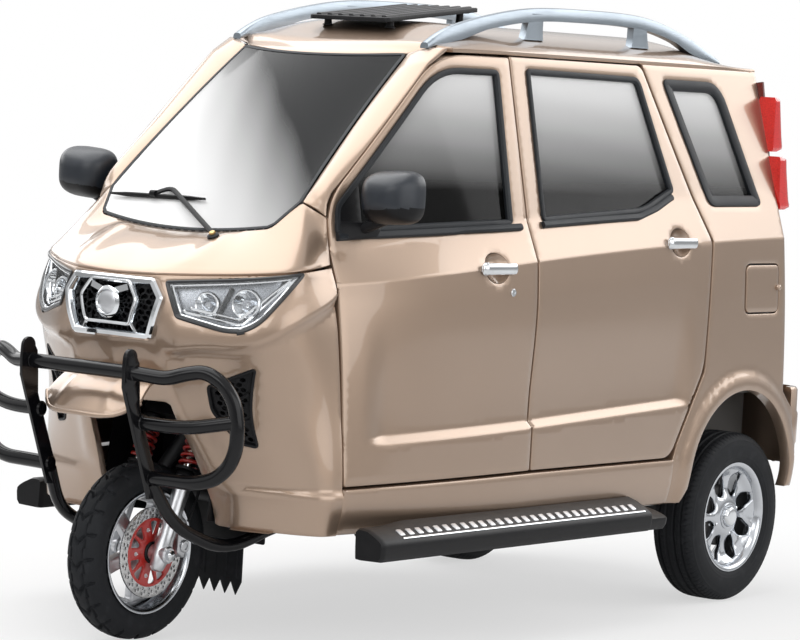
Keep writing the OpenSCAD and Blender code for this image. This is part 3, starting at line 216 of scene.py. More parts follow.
RAIL = metal("roof_rail_alloy", (0.31, 0.35, 0.39), 0.36, (1, 0.05, 1))
DISC = metal("brake_disc_steel", (0.58, 0.58, 0.58), 0.26)
RED_METAL = painted("red_spring_paint", (0.42, 0.02, 0.015), 0.3, 0.5)
BRASS = metal("brass_nut", (0.62, 0.44, 0.2), 0.3)
HOUSING = painted("lamp_housing", (0.012, 0.013, 0.015), 0.35, 0.3)
TRAY = metal("lamp_reflector", (0.34, 0.36, 0.39), 0.28)
AMBER = Finish("amber_reflector", (0.75, 0.22, 0.02), 0.15, Coat_Weight=0.5)
AMBER = AMBER.bump(AMBER.cells(500.0), 0.4, 0.0006).mat
print("finishes", len(bpy.data.materials))

# %% [markdown]
# Tyre rubber is dull and a little grey where it has scuffed. Glass on this vehicle is tinted, and a painted
# sky reflection lies in its colour: each pane runs from pale to almost black, with faint soft stripes, as a
# gradient over the pane itself.

# %% Rubber, glass and lens finishes
def tyre_rubber():
    """Dull rubber with scuffs."""
    f = Finish("tyre_rubber", (0.008, 0.009, 0.011), 0.62, Specular_IOR_Level=0.25)
    scuff = f.noise(26.0, 6.0)
    f.set(Base_Color=f.mix(scuff.ramp(0.48, 0.8), (0.007, 0.008, 0.010), (0.018, 0.019, 0.022)),
          Roughness=0.56 + scuff * 0.2)
    return f.bump(f.noise(700.0, 3.0) + scuff, 0.25, 0.0005).mat

def glass_with_painted_reflection(name, start, end, pale, dark, stripe_axis, curve=1.0):
    """Dark tint with a painted sky reflection: pale at the point start to dark at the point end, with soft
    slanting stripes.
    """
    f = Finish(name, dark, 0.04, IOR=1.5, Specular_IOR_Level=0.12)
    x, y, z = f.axes()
    a, b = np.array(start) * MM, np.array(end) * MM
    d = (b - a) / np.dot(b - a, b - a)
    t = x * float(d[0]) + y * float(d[1]) + z * float(d[2]) - float(np.dot(a, d))
    s = np.array(stripe_axis) / MM
    stripes = (x * float(s[0]) + y * float(s[1]) + z * float(s[2])).wave()
    t = t.op("ADD", (stripes - 0.5) * 0.02, clamp=True) ** curve
    # Painted reflection: the base colour goes from the pale sky reflection to the dark tint along t.
    f.set(Base_Color=f.mix(t, pale, dark), Roughness=0.05 + f.noise(5.0, 2.0) * 0.03, Alpha=0.97 - t * 0.13)
    return f.mat

RUBBER = tyre_rubber()
# Both panes carry a painted sky reflection in their base colour.
SCREEN = glass_with_painted_reflection("windscreen_painted_reflection", (-251, -911, 1176), (82, -666, 1404), (0.92, 0.92, 0.92),
                      (0.002, 0.003, 0.004), (0.05, 0.0, 0.03), 1.8)
SIDE_GLASS = glass_with_painted_reflection("side_window_painted_reflection", (0, 0, 1530), (0, 0, 1215), (0.90, 0.90, 0.90),
    (0.004, 0.004, 0.004), (0.0, 0.006, 0.07), 0.8)

def clear_lens():
    """Lamp cover: almost clear, a little uneven."""
    f = Finish("clear_lamp_lens", (0.95, 0.96, 0.97), 0.03, IOR=1.45, Coat_Weight=0.2, Coat_Roughness=0.02)
    f.set(Alpha=0.03 + f.noise(30.0, 2.0) * 0.04, Roughness=0.03 + f.noise(60.0, 2.0) * 0.03)
    return f.mat

def red_lens(name, color, deep):
    """Lamp lens with small prisms."""
    f = Finish(name, color, 0.12, Coat_Weight=0.8, Coat_Roughness=0.04)
    prism = f.cells(260.0)
    f.set(Base_Color=f.mix(prism.ramp(0.2, 0.9), color, deep), Roughness=0.1 + prism * 0.12)
    return f.bump(prism, 0.25, 0.0008).mat

LENS = clear_lens()
RED = red_lens("tail_lamp_red", (0.80, 0.02, 0.018), (0.60, 0.008, 0.008))
DARK_RED = red_lens("tail_lamp_strip", (0.16, 0.004, 0.004), (0.08, 0.002, 0.002))

# %% [markdown]
# A piece is made from arrays: points in millimetres, faces as rows of indices and one material per part. A
# grid of points gives a surface, a profile carried along a path gives a bar or a seal, and a profile spun
# about the axle gives tyres and rims.

# %% Mesh helpers
def make(name, body, parts, nodes=(), angle=38):
    """One object from parts (points in mm, list of face arrays, material); it rides on a body."""
    mats = list(dict.fromkeys(p[2] for p in parts))
    points, faces, which, base = [], [], [], 0
    for V, F, m in parts:
        V = np.asarray(V, float).reshape(-1, 3)
        for rows in (F if isinstance(F, list) else [F]):
            rows = np.asarray(rows, int) + base
            faces += rows.tolist()
            which.append(np.full(len(rows), mats.index(m)))
        points.append(V)
        base += len(V)
    me = bpy.data.meshes.new(name)
    me.from_pydata((np.vstack(points) * MM).tolist(), [], faces)
    for m in mats:
        me.materials.append(m)
    me.polygons.foreach_set("material_index", np.concatenate(which))
    me.validate()
    me.shade_smooth()
    me.set_sharp_from_angle(angle=np.radians(angle))
    ob = bpy.data.objects.new(name, me)
    scene.collection.objects.link(ob)
    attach(ob, body)
    if nodes:
        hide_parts(*nodes)
    return ob

def flipped(part):
    """Mirror image of a part in the plane x = 0, with its faces turned back outwards."""
    V, F, m = part
    rows = F if isinstance(F, list) else [F]
    return np.asarray(V).reshape(-1, 3) * [-1, 1, 1], [np.asarray(r)[:, ::-1] for r in rows], m

def both(parts):
    """Parts and their mirror images."""
    return parts + [flipped(p) for p in parts]

def quads(n, m, ring_n=False, ring_m=False):
    """Faces of an n x m grid of points, closed on itself where asked."""
    i, j = np.meshgrid(np.arange(n if ring_n else n - 1), np.arange(m if ring_m else m - 1), indexing="ij")
    i, j, k, l = i.ravel(), j.ravel(), (i.ravel() + 1) % n, (j.ravel() + 1) % m
    return np.stack([i * m + j, k * m + j, k * m + l, i * m + l], 1)

def ease(t):
    """Smooth step from 0 to 1."""
    u = np.clip(t, 0, 1)
    return u * u * (3 - 2 * u)

def spline(points, t):
    """Catmull-Rom curve through points, for t from 0 to 1."""
    p = np.asarray(points, float)
    n = len(p) - 1
    s = np.clip(np.asarray(t, float), 0, 1) * n
    i = np.minimum(s.astype(int), n - 1)
    f = (s - i).reshape(s.shape + (1,) * (p.ndim - 1))
    a, b, c, d = p[np.maximum(i - 1, 0)], p[i], p[i + 1], p[np.minimum(i + 2, n)]
    return b + 0.5 * f * ((c - a) + f * ((2 * a - 5 * b + 4 * c - d) + f * (3 * (b - c) + d - a)))

def filleted(points, radius, arc=6):
    """Open path with each inner corner rounded: a parabola that starts and ends radius from the corner."""
    p = np.asarray(points, float)
    q, before, after = p[1:-1], p[:-2] - p[1:-1], p[2:] - p[1:-1]
    shorter = np.minimum(np.linalg.norm(before, axis=1), np.linalg.norm(after, axis=1))
    reach = np.minimum(radius, 0.48 * shorter)[:, None]
    a, b = (q + unit(before) * reach)[:, None], (q + unit(after) * reach)[:, None]
    t = np.linspace(0, 1, arc)[None, :, None]
    bend = (1 - t) ** 2 * a + 2 * t * (1 - t) * q[:, None] + t * t * b
    return np.vstack([p[:1], bend.reshape(-1, p.shape[1]), p[-1:]])

def circle(r, n=14):
    """Round section of n points."""
    a = np.linspace(0, 2 * np.pi, n, endpoint=False)
    return np.stack([r * np.cos(a), r * np.sin(a)], 1)

def sweep(path, profile, mat, up=(0, 0, 1), closed=False, scale=None):
    """Profile (offsets along up and across) carried along a path; open ends are capped."""
    P = np.asarray(path, float)
    T = unit(np.roll(P, -1, 0) - np.roll(P, 1, 0)) if closed else unit(np.gradient(P, axis=0))
    up = np.broadcast_to(np.asarray(up, float), P.shape)
    N = unit(up - (up * T).sum(1, keepdims=True) * T)
    B = np.cross(T, N)
    k = np.ones(len(P)) if scale is None else np.asarray(scale, float)
    pr = np.asarray(profile, float)
    V = P[:, None] + k[:, None, None] * (N[:, None] * pr[None, :, :1] + B[:, None] * pr[None, :, 1:])
    n, m = V.shape[:2]
    F = [quads(n, m, closed, True)]
    if not closed:
        F += [np.arange(m)[None, ::-1], np.arange(m)[None] + (n - 1) * m]
    return V.reshape(-1, 3), F, mat

def tube(points, d, mat, radius=60, n=14, arc=7):
    """Round bar along filleted points, turned so that its section never twists."""
    P = filleted(points, radius, arc) if len(points) > 2 else np.asarray(points, float)
    T = unit(np.gradient(P, axis=0))
    up = np.zeros_like(P)
    u = np.cross(T[0], [0.3, 0.5, 0.8])
    for k in range(len(P)):
        u = u - np.dot(u, T[k]) * T[k]
        up[k] = u = u / np.linalg.norm(u)
    return sweep(P, circle(d / 2, n), mat, up)

def spun(profile, centre, mat, n=96, closed=True):
    """Profile of (along the axle, radius) spun about an axle through centre."""
    pr = np.asarray(profile, float)
    a = np.linspace(0, 2 * np.pi, n, endpoint=False)
    along = np.broadcast_to(pr[:, 0], (n, len(pr)))
    c, s = np.cos(a)[:, None] * pr[:, 1], np.sin(a)[:, None] * pr[:, 1]
    V = np.stack([along, c, s], -1)
    return (V + np.asarray(centre, float)).reshape(-1, 3), [quads(n, len(pr), True, closed)], mat

# %% [markdown]
# Car panels are trimmed surfaces: a smooth skin cut to an outline, with openings, rolled edges and a wall.
# `panel` does that for any surface of two parameters. It spreads points over the outline, joins them with a
# constrained Delaunay net, bends the net onto the surface, rolls the edges down and closes the back.

# %% Trimmed panels
def outline(corners, arc=7):
    """Closed polygon from corners (u, v, setback): each corner is a parabola."""
    c = np.asarray(corners, float)
    p = c[:, :2]
    a = (p + unit(np.roll(p, 1, 0) - p) * c[:, 2:])[:, None]
    b = (p + unit(np.roll(p, -1, 0) - p) * c[:, 2:])[:, None]
    t = np.linspace(0, 1, arc)[None, :, None]
    return ((1 - t) ** 2 * a + 2 * t * (1 - t) * p[:, None] + t * t * b).reshape(-1, 2)

def resampled(loop, step, closed=True):
    """Polygon with every edge split into pieces of about one step."""
    a = np.asarray(loop, float)
    b = np.roll(a, -1, 0)
    if not closed:
        a, b = a[:-1], b[:-1]
    n = np.maximum(1, np.ceil(np.linalg.norm(b - a, axis=1) / step)).astype(int)
    k = np.repeat(np.arange(len(a)), n)
    f = (np.arange(n.sum()) - np.repeat(np.cumsum(n) - n, n)) / n[k]
    out = a[k] + (b - a)[k] * f[:, None]
    return out if closed else np.vstack([out, loop[-1]])

def anticlockwise(loop):
    """The polygon in anticlockwise order."""
    x, y = loop[:, 0], loop[:, 1]
    return loop if np.sum(x * np.roll(y, -1) - np.roll(x, -1) * y) > 0 else loop[::-1]

def inset(loop, d):
    """Anticlockwise polygon moved inwards by d."""
    t = unit(unit(np.roll(loop, -1, 0) - loop) + unit(loop - np.roll(loop, 1, 0)))
    return loop + d * np.stack([-t[:, 1], t[:, 0]], 1)

def inside(pts, loop):
    """Even-odd test of points in a polygon."""
    a, b = loop, np.roll(loop, -1, 0)
    x, y = pts[:, :1], pts[:, 1:]
    over = (a[:, 1] > y) != (b[:, 1] > y)
    with np.errstate(all="ignore"):
        cut = a[:, 0] + (y - a[:, 1]) / (b[:, 1] - a[:, 1]) * (b[:, 0] - a[:, 0])
    return (over & (x < cut)).sum(1) % 2 == 1

def distance(pts, loops):
    """Least distance from points to the edges of closed polygons."""
    a = np.vstack(loops)
    d = np.vstack([np.roll(l, -1, 0) for l in loops]) - a
    out = []
    for rows in np.array_split(pts, max(1, len(pts) * len(a) // 1000000)):
        v = rows[:, None] - a
        f = np.clip((v * d).sum(2) / np.maximum((d * d).sum(1), 1e-9), 0, 1)
        out.append(np.linalg.norm(v - f[..., None] * d, axis=2).min(1))
    return np.concatenate(out)

def trimmed(outer, holes, lines, step, roll):
    """Points, triangles and edge distance of a flat region with holes and inner crease lines."""
    loops = [anticlockwise(resampled(l, step)) for l in (outer, *holes)]
    rings = [inset(l, d if k == 0 else -d) for k, l in enumerate(loops) for d in (0.3 * roll, roll)
        if roll > 0]
    creases = [resampled(l, step, False) for l in lines]
    low, high = loops[0].min(0), loops[0].max(0)
    gx, gy = np.meshgrid(np.arange(low[0], high[0], step), np.arange(low[1], high[1], step * 0.87))
    gx = gx + 0.5 * step * (np.arange(len(gx))[:, None] % 2)
    fill = np.stack([gx.ravel(), gy.ravel()], 1)
    fill = fill[distance(fill, loops) > 0.55 * step + roll]
    for c in creases:
        near = np.linalg.norm(fill[:, None] - c[None], axis=2).min(1)
        fill = fill[near > 0.5 * step]
    rows, edges, base = [], [], 0
    for l, ring in [(l, True) for l in loops] + [(c, False) for c in creases]:
        k = np.arange(len(l) if ring else len(l) - 1)
        edges.append(np.stack([k, (k + 1) % len(l)], 1) + base)
        rows.append(l)
        base += len(l)
    pts = np.vstack(rows + rings + [fill])
    net = delaunay_2d_cdt([Vector(p) for p in pts], np.vstack(edges).tolist(), [], 0, 1e-3)
    pts, tri = np.array([tuple(p) for p in net[0]]), np.array(net[2])
    mid = pts[tri].mean(1)
    keep = inside(mid, loops[0])
    for h in loops[1:]:
        keep &= ~inside(mid, h)
    used, tri = np.unique(tri[keep], return_inverse=True)
    return pts[used], tri.reshape(-1, 3), distance(pts[used], loops)

def facing(surf, p, q, h=0.5):
    """Unit normal of a surface from small steps in its two parameters."""
    return unit(np.cross(surf(p + h, q) - surf(p - h, q), surf(p, q + h) - surf(p, q - h)))

def panel(outer, surf, mat, holes=(), lines=(), step=16, roll=4.0, thick=20.0, along=None, lift=0.0):
    """Solid panel: outer skin with rolled edges, inner skin and the wall between them."""
    pts, tri, d = trimmed(outer, holes, lines, step, roll)
    p, q = pts[:, 0], pts[:, 1]
    inward = -facing(surf, p, q) if along is None else np.asarray(along, float)
    sink = roll - np.sqrt(np.maximum(roll ** 2 - (roll - np.minimum(d, roll)) ** 2, 0)) - lift
    top = surf(p, q) + inward * sink[:, None]
    n = len(pts)
    a, b = np.vstack([tri[:, [0, 1]], tri[:, [1, 2]], tri[:, [2, 0]]]).T
    rim = ~np.isin(a * n + b, b * n + a)
    a, b = a[rim], b[rim]
    faces = [tri, tri[:, ::-1] + n, np.stack([b, a, a + n, b + n], 1)]
    return np.vstack([top, surf(p, q) + inward * thick]), faces, mat

def strip(loop, surf, profile, mat, closed=True, step=14):
    """Profile (outwards from the surface, across) carried along a line that lies on a surface."""
    l = resampled(loop, step, closed)
    return sweep(surf(l[:, 0], l[:, 1]), profile, mat, facing(surf, l[:, 0], l[:, 1]), closed)

# %% [markdown]
# The cab's side is one surface, x as a function of length y and height z. A crease runs back at the waist,
# the windows lean in above it, and a shallow hollow ends in a ledge along the foot of the doors.

# %% Side of the cab
DOOR_FRONT, DOOR_SPLIT, EAVE, SILL = -872.0, -120.0, 1590.0, 318.0
FRONT_REACH = DOOR_SPLIT - DOOR_FRONT
CAB_REAR = 1163

def waist_z(y):
    """Height of the crease at the waist."""
    return 1030 + 0.075 * (y + 130) - 0.00002 * (y + 130) ** 2

def belt_z(y):
    """Height of the belt, where the windows start to lean in."""
    return waist_z(y) + 110 + 0.03 * (y + 130)

def ledge_z(y):
    """Height of the ledge along the foot of the doors."""
    return np.interp(y, [-900, -715, -129, 607], [545, 550, 572, 604])

def side_x(y, z):
    """Half width: upright to the waist crease, a shoulder to the belt, then straight in to the eave."""
    ahead = np.clip((DOOR_SPLIT - y) / FRONT_REACH, 0, None)
    w, b = waist_z(y), belt_z(y)
    low_in = 47 * np.clip((z - 456) / 480, 0, 1) * np.clip((-480 - y) / 392, 0, None) ** 2
    high_in = 32 * ahead
    sill = 560 - 20 * ((430 - np.minimum(z, 430)) / 112) ** 2
    door = 560 - 13 * np.clip((z - 700) / (w - 700), 0, 1) ** 2 - low_in
    shoulder = (547 - low_in) + (501 - high_in - 547 + low_in) * np.clip((z - w) / (b - w), 0, 1)
    window = 501 - 96 * (z - b) / (EAVE - b) - high_in
    x = np.where(z < 430, sill, np.where(z <= w, door, np.where(z <= b, shoulder, window)))
    ends = ease((y + 800) / 90) * ease((690 - y) / 90)
    up = z - ledge_z(y)
    hollow = 17 * ease(up / 22) * (1 - ease((up - 50) / 330)) * ends
    return x - 57 * np.clip(ahead, 0, 1) ** 1.68 - hollow

def side(y, z):
    """Left side of the cab."""
    return np.stack([side_x(y, z), y, z], -1)

FRONT_DOOR = outline([(-872, 445, 12), (-122.5, 456, 8), (-122.5, 1582, 8), (-416, 1581, 110),
    (-866, 1178, 80)])
FRONT_WINDOW = outline([(-846, 1099, 8), (-189, 1130, 14), (-178, 1545, 20), (-429, 1543, 95),
    (-838, 1169, 20)])
REAR_DOOR = outline([(-117.5, 456, 8), (582, 456, 40), (737, 712, 40), (762, 1083, 25), (536, 1585, 25),
    (-117.5, 1585, 8)])
REAR_WINDOW = outline([(-52, 1138, 14), (200, 1152, 2), (440, 1166, 50), (606, 1225, 16), (508, 1549, 28),
    (-46, 1553, 16)])
QUARTER_WINDOW = outline([(790, 1187, 26), (1066, 1190, 24), (940, 1548, 70), (636, 1548, 26)])

def along_side(level, y0, y1, offsets):
    """Lines beside a feature of the side, so that the net follows its crease."""
    y = np.linspace(y0, y1, 60)
    return [np.stack([y, level(y) + d], 1) for d in offsets]

def creases(y0, y1):
    """Crease lines of a side panel between two stations."""
    return (along_side(waist_z, y0, y1, (-5, 0, 6)) + along_side(belt_z, y0, y1, (-5, 5))
            + along_side(ledge_z, y0, y1, (-3, 6, 18, 27)))

# %% [markdown]
# Each door is one pressed panel with its window opening. The left ones are made and the right ones mirrored.

# %% Doors
INWARD = (-1.0, 0, 0)
FRONT_PULL, REAR_PULL = (-300.0, 1012.0), (594.0, 1080.0)

def scoop_edge(c):
    """Oval behind a handle."""
    return circle(1.0, 40) * [50, 40] + np.array(c)

DOORS = (("door_front", FRONT_DOOR, [FRONT_WINDOW, scoop_edge(FRONT_PULL)], -868, -126),
    ("door_rear", REAR_DOOR, [REAR_WINDOW, scoop_edge(REAR_PULL)], -114, 690))
for name, edge, holes, y0, y1 in DOORS:
    skin = panel(edge, side, PAINT, holes, creases(y0, y1), 16, 5.0, 36.0, INWARD)
    for tail, body, part in (("left", "l", skin), ("right", "r", flipped(skin))):
        make(f"{name}_{tail}_skin", "door_" + name[5] + body, [part], [f"{name}_{tail}"])
print("doors done")

# %% [markdown]
# The rear quarter carries the wheel arch: the skin swells outwards in a narrow band round the opening.

# %% Quarter panels and sills
ARCH_Y, ARCH_Z, ARCH_R = 962.0, 360.0, 280.0

def rear_edge(z):
    """Where the side ends at the rear corner."""
    return CAB_REAR + np.where(z > 1098, 0, 0.06 * (1098 - z)) + 62 * ease((640 - z) / 80)

def quarter(y, z):
    """Side of the cab with the flare round the wheel arch."""
    d = np.hypot(y - ARCH_Y, np.maximum(z - ARCH_Z, 0))
    swell = 13 * ease((ARCH_R + 66 - d) / 40)
    return side(y, z) + np.stack([swell, 0 * y, 0 * y], -1)

arch_turn = np.radians(np.linspace(-5, 180, 40))
arch = np.stack([ARCH_Y + ARCH_R * np.cos(arch_turn), ARCH_Z + ARCH_R * np.sin(arch_turn)], 1)
tail_z = np.linspace(1589, 336, 48)
quarter_edge = np.vstack([arch, [(660, 318), (600.4, 318), (600.4, 450), (620, 500), (744, 703), (749, 800),
    (757, 930), (768, 1085), (541, 1589)], np.stack([rear_edge(tail_z), tail_z], 1)])
flare = [np.stack([ARCH_Y + r * np.cos(arch_turn), ARCH_Z + r * np.sin(arch_turn)], 1)
    for r in (ARCH_R + 26, ARCH_R + 46, ARCH_R + 66)]
FLAP = outline([(950, 872, 22), (1132, 872, 22), (1132, 1014, 22), (950, 1014, 22)])
flap_hole = inset(anticlockwise(resampled(FLAP, 10)), -3.5)
lines = creases(762, 1158)[:5] + flare
QUARTERS = (("left", lambda q: q, [QUARTER_WINDOW, flap_hole]), ("right", flipped, [QUARTER_WINDOW]))
for tail, turn, holes in QUARTERS:
    skin = panel(quarter_edge, quarter, PAINT, holes, lines, 16, 5.0, 36.0, INWARD)
    make(f"quarter_{tail}_skin", "chassis", [turn(skin)], ["quarter_" + tail])
sill_y = np.linspace(-876.5, 600, 40)
sill_edge = np.vstack([np.stack([sill_y, 0 * sill_y + SILL], 1),
    np.stack([sill_y, 451 - 11 * np.clip((DOOR_SPLIT - sill_y) / FRONT_REACH, 0, 1)], 1)[::-1]])
skin = panel(sill_edge, side, PAINT, (), along_side(lambda y: 0 * y + 430, -870, 596, (-6, 0)), 18, 8.0,
    58.0, INWARD, 5.0)
make("sill_skins", "chassis", both([skin]), ["sills"])

# %% [markdown]
# The nose is lofted from plan curves at five heights. Openings for lamps, grille and side vents are cut out
# of it, so those parts can sit in real recesses.

# %% Nose surface
NOSE_Z = np.array([318.0, 430, 650, 850, 1020])
NOSE_XY = np.array([
    [(0, -1046), (180, -1018), (359, -978), (466, -932), (0, 0)],
    [(0, -1086), (180, -1054), (359, -1002), (476, -945), (0, 0)],
    [(0, -1192), (162, -1162), (315, -1095), (445, -985), (0, 0)],
    [(0, -1245), (166, -1230), (330, -1130), (434, -1036), (0, 0)],
    [(0, -1228), (148, -1216), (325, -1110), (424, -1018), (0, 0)]], float)
NOSE_XY[:, 4] = np.stack([side_x(np.full(5, -877.0), NOSE_Z), np.full(5, -877.0)], 1)
SPAN = 520.0

def nose_plan(s, z):
    """Plan point at |s| from the middle (0) to the door edge (1): splines along, then between rows."""
    rows = np.stack([spline(NOSE_XY[k], np.abs(s)) for k in range(5)])
    k = np.clip(np.searchsorted(NOSE_Z, z, "right") - 1, 0, 3)
    f = np.clip((z - NOSE_Z[k]) / (NOSE_Z[k + 1] - NOSE_Z[k]), 0, 1)[..., None]
    pick = lambda i: np.take_along_axis(rows, np.clip(i, 0, 4)[None, ..., None], 0)[0]
    a, b, c, d = pick(k - 1), pick(k), pick(k + 1), pick(k + 2)
    return b + 0.5 * f * ((c - a) + f * ((2 * a - 5 * b + 4 * c - d) + f * (3 * (b - c) + d - a)))

def nose_bare(p, z):
    """Nose without its creases; p runs from -SPAN to SPAN across it."""
    xy = nose_plan(p / SPAN, z)
    return np.stack([np.sign(p) * xy[..., 0], xy[..., 1], z], -1)

BROW_S = np.linspace(0, 1, 101)
bend = np.interp(np.linspace(-0.2, 1.2, 141), [-0.2, 0.24, 0.36, 0.5, 0.62, 0.8, 1.0, 1.2],
    [778, 778, 800, 798, 822, 882, 940, 998])
BROW_Z = np.convolve(bend, np.hanning(23) / np.hanning(23).sum(), "same")[20:121]

def brow_line(p):
    """Height of the crease that runs on from the waist of the doors and dips under the lamps."""
    return np.interp(np.abs(p) / SPAN, BROW_S, BROW_Z)

def nose(p, z):
    """Nose with a raised cheek line, a sharp brow line under the lamps and a step at the sill."""
    v = nose_bare(p, z)
    h = z - brow_line(p)
    brow = 15 * np.where(h > 0, ease(1 - h / 100), ease(1 + h / 26)) * ease((np.abs(p) / SPAN - 0.22) / 0.08)
    cheek = np.interp(z, [405, 487, 645, 795], [232, 212, 170, 128])
    ridge = 7 * np.exp(-((np.abs(v[..., 0]) - cheek) / 26) ** 2) * ease((z - 430) / 60) * ease((800 - z) / 60)
    step = 10 * ease((436 - z) / 14) * ease((np.abs(p) - 140) / 60)
    n = facing(nose_bare, p, z)
    return v + n * (ridge + step + brow)[..., None]

def brow_z(p):
    """Upper edge of the nose, where the bonnet starts."""
    return 972 + 44 * np.abs(p / SPAN) ** 1.5

LAMP = outline([(0.30 * SPAN, 868, 6), (0.475 * SPAN, 835, 30), (0.575 * SPAN, 850, 40),
    (0.80 * SPAN, 996, 12), (0.262 * SPAN, 956, 6)])
VENT = outline([(0.398 * SPAN, 692, 6), (0.396 * SPAN, 630, 10), (0.455 * SPAN, 548, 8),
    (0.520 * SPAN, 541, 8), (0.578 * SPAN, 745, 8)])
GRILLE = outline([(-0.20 * SPAN, 806, 9), (0.20 * SPAN, 806, 9), (0.255 * SPAN, 914, 6),
    (0.22 * SPAN, 960, 6), (-0.22 * SPAN, 960, 6), (-0.255 * SPAN, 914, 6)])
mirror_image = lambda loop: loop * [-1, 1]

# %% Nose skin
def well_z(p):
    """Lower edge of the nose: high over the front wheel, down to the sill beside it."""
    x = np.abs(nose_bare(p, np.full_like(p, 430.0))[..., 0])
    return 640 + (SILL - 640) * ease((x - 158) / 40)

p = np.linspace(-0.998 * SPAN, 0.998 * SPAN, 130)
nose_edge = np.vstack([np.stack([p, well_z(p)], 1), np.stack([p, brow_z(p) - 5], 1)[::-1]])
side_lines = [np.stack([s * np.linspace(215, 515, 40), 0 * p[:40] + z], 1) for s in (-1, 1)
    for z in (422, 429, 436, 443)]
brow_p = np.linspace(0.28, 0.985, 40) * SPAN
side_lines += [np.stack([s * brow_p, brow_line(brow_p) + d], 1) for s in (-1, 1) for d in (-24, -11, 0, 9)]
skin = panel(nose_edge, nose, PAINT, [LAMP, mirror_image(LAMP), VENT, mirror_image(VENT), GRILLE],
    side_lines, 15, 4.0, 18.0)
make("nose_skin", "chassis", [skin], ["nose_shell"])

# %% [markdown]
# The bonnet rises from the brow over the lamps to the foot of the windscreen, the pillars run up beside the
# glass into the roof, and the roof is crowned across and raised in a long cap.

# %% Bonnet, windscreen surface, pillars and roof
SCREEN_P, SCREEN_Q = 320.0, 700.0
HEAD_HALF = 285
PILLAR_FOOT = (-874.0, 1139.0)

def screen_foot(s):
    """Lower edge of the windscreen glass; s runs from -1 to 1 across it."""
    a = np.abs(s)
    rise = 32 * a * a + 64 * ease((a - 0.86) / 0.14)
    return np.stack([334 * s, -1000 + 1.05 * rise, 1078 + rise], -1)

def screen_head(s):
    """Upper edge of the windscreen glass."""
    return np.stack([HEAD_HALF * s, -492 + 70 * s * s, 1565 + 12 * s * s], -1)

def screen(p, q):
    """Windscreen: ruled from its foot to its head, bulged forwards in the middle."""
    s, v = p / SCREEN_P, (q / SCREEN_Q)[..., None]
    bulge = 18 * 4 * v * (1 - v) * (1 - 0.5 * s * s)[..., None]
    return screen_foot(s) * (1 - v) + screen_head(s) * v + np.array([0, -0.7, 0.7]) * bulge

def bonnet_back(s):
    """Rear edge of the bonnet: along the glass, then out to the foot of the pillar."""
    a = np.abs(s)[..., None]
    foot = np.array([side_x(*np.array(PILLAR_FOOT)), *PILLAR_FOOT])
    t = (a - 0.8) / 0.2
    q = screen_foot(np.ones_like(s)) * (1 - t) + foot * t
    return np.where(a < 0.8, screen_foot(np.clip(s / 0.8, -1, 1)),
        q * np.stack([np.sign(s), 0 * s + 1, 0 * s + 1], -1))

def bonnet(p, q):
    """Bonnet between the brow and the screen, crowned, with two soft flutes."""
    s, v = p / SPAN, q / 300
    front = nose_bare(p, brow_z(p)) + [0, 0, 0.4]
    crown = 56 * v * (1 - v) * (1 - s * s)
    flute = 7 * np.exp(-((np.abs(s) - 0.30 - 0.12 * v) / 0.05) ** 2) * ease(v / 0.2) * ease((1 - v) / 0.2)
    out = front * (1 - v)[..., None] + (bonnet_back(s) + [0, -0.4, -0.4]) * v[..., None]
    return out + np.stack([0 * s, 0 * s, crown + flute], -1)

bonnet_edge = np.array([(-0.998 * SPAN, 0), (0.998 * SPAN, 0), (0.998 * SPAN, 299), (-0.998 * SPAN, 299)])
make("bonnet_skin", "chassis", [panel(bonnet_edge, bonnet, PAINT, (), (), 14, 5.0, 16.0)], ["hood"])

PILLAR = resampled([PILLAR_FOOT, (-867, 1171), (-847, 1202), (-755, 1285), (-610, 1415), (-452, 1556),
    (-376, EAVE + 7.6)], 14, False)

def pillar(p, q):
    """Windscreen pillar: from the door gap (q = 0) to the glass (q = 90), swollen between."""
    t, w = np.clip(p / 640, 0, 1), q / 90
    o = spline(PILLAR, t)
    o = side(o[..., 0], o[..., 1])
    e = screen(np.full_like(p, SCREEN_P), t * SCREEN_Q) + [0.4, 0, 0]
    wide = np.linalg.norm(e - o, axis=-1)
    foot = ease(t * 10) * (1 - ease((t - 0.15) / 0.4))
    swell = wide[..., None] * np.array([5, -6, 9]) / 130 + foot[..., None] * np.array([3, -8, 3])
    return o * (1 - w)[..., None] + e * w[..., None] + (4 * w * (1 - w))[..., None] * swell

pillar_edge = np.array([(0.5, 0.5), (639.5, 0.5), (639.5, 89.5), (0.5, 89.5)])
skin = panel(pillar_edge, pillar, PAINT, (), (), 12, 3.0, 10.0)
make("pillar_skins", "chassis", both([skin]), ["a_pillars"])

def roof_half(y):
    """Half width of the roof, from the head of the windscreen out to the eave."""
    ahead = np.clip((DOOR_SPLIT - y) / FRONT_REACH, 0, 1)
    return HEAD_HALF + (405 - 32 * ahead - 57 * ahead ** 1.68 - HEAD_HALF) * ease((y + 430) / 60)

def roof_rise(y):
    """Height of the raised cap over the eave."""
    return 72 * ease((y + 480) / 330) * (1 - ease((y - 800) / 363))

def roof(p, q):
    """Roof: half width by station, a quartic crown, and a raised cap inside a soft step."""
    s, v = p / 400, q / 1600
    head = screen_head(s)
    y = head[..., 1] + 4.6 + (CAB_REAR - head[..., 1] - 4.6) * v
    k = np.clip(v * 25, 0, 1)
    w = HEAD_HALF + (roof_half(y) - HEAD_HALF) * k
    base = head[..., 2] + (EAVE + 8 - head[..., 2]) * k
    return np.stack([s * w, y, base + roof_rise(y) * (1 - s ** 4)], -1)

roof_edge = np.array([(-399, 2), (399, 2), (399, 1598), (-399, 1598)])
make("roof_skin", "chassis", [panel(roof_edge, roof, PAINT, (), (), 22, 5.0, 12.0)], ["roof_shell"])
print("front and roof done")

# %% [markdown]
# The back is almost flat with rounded corners: depth y over width x and height z. The tailgate is cut out
# of it.

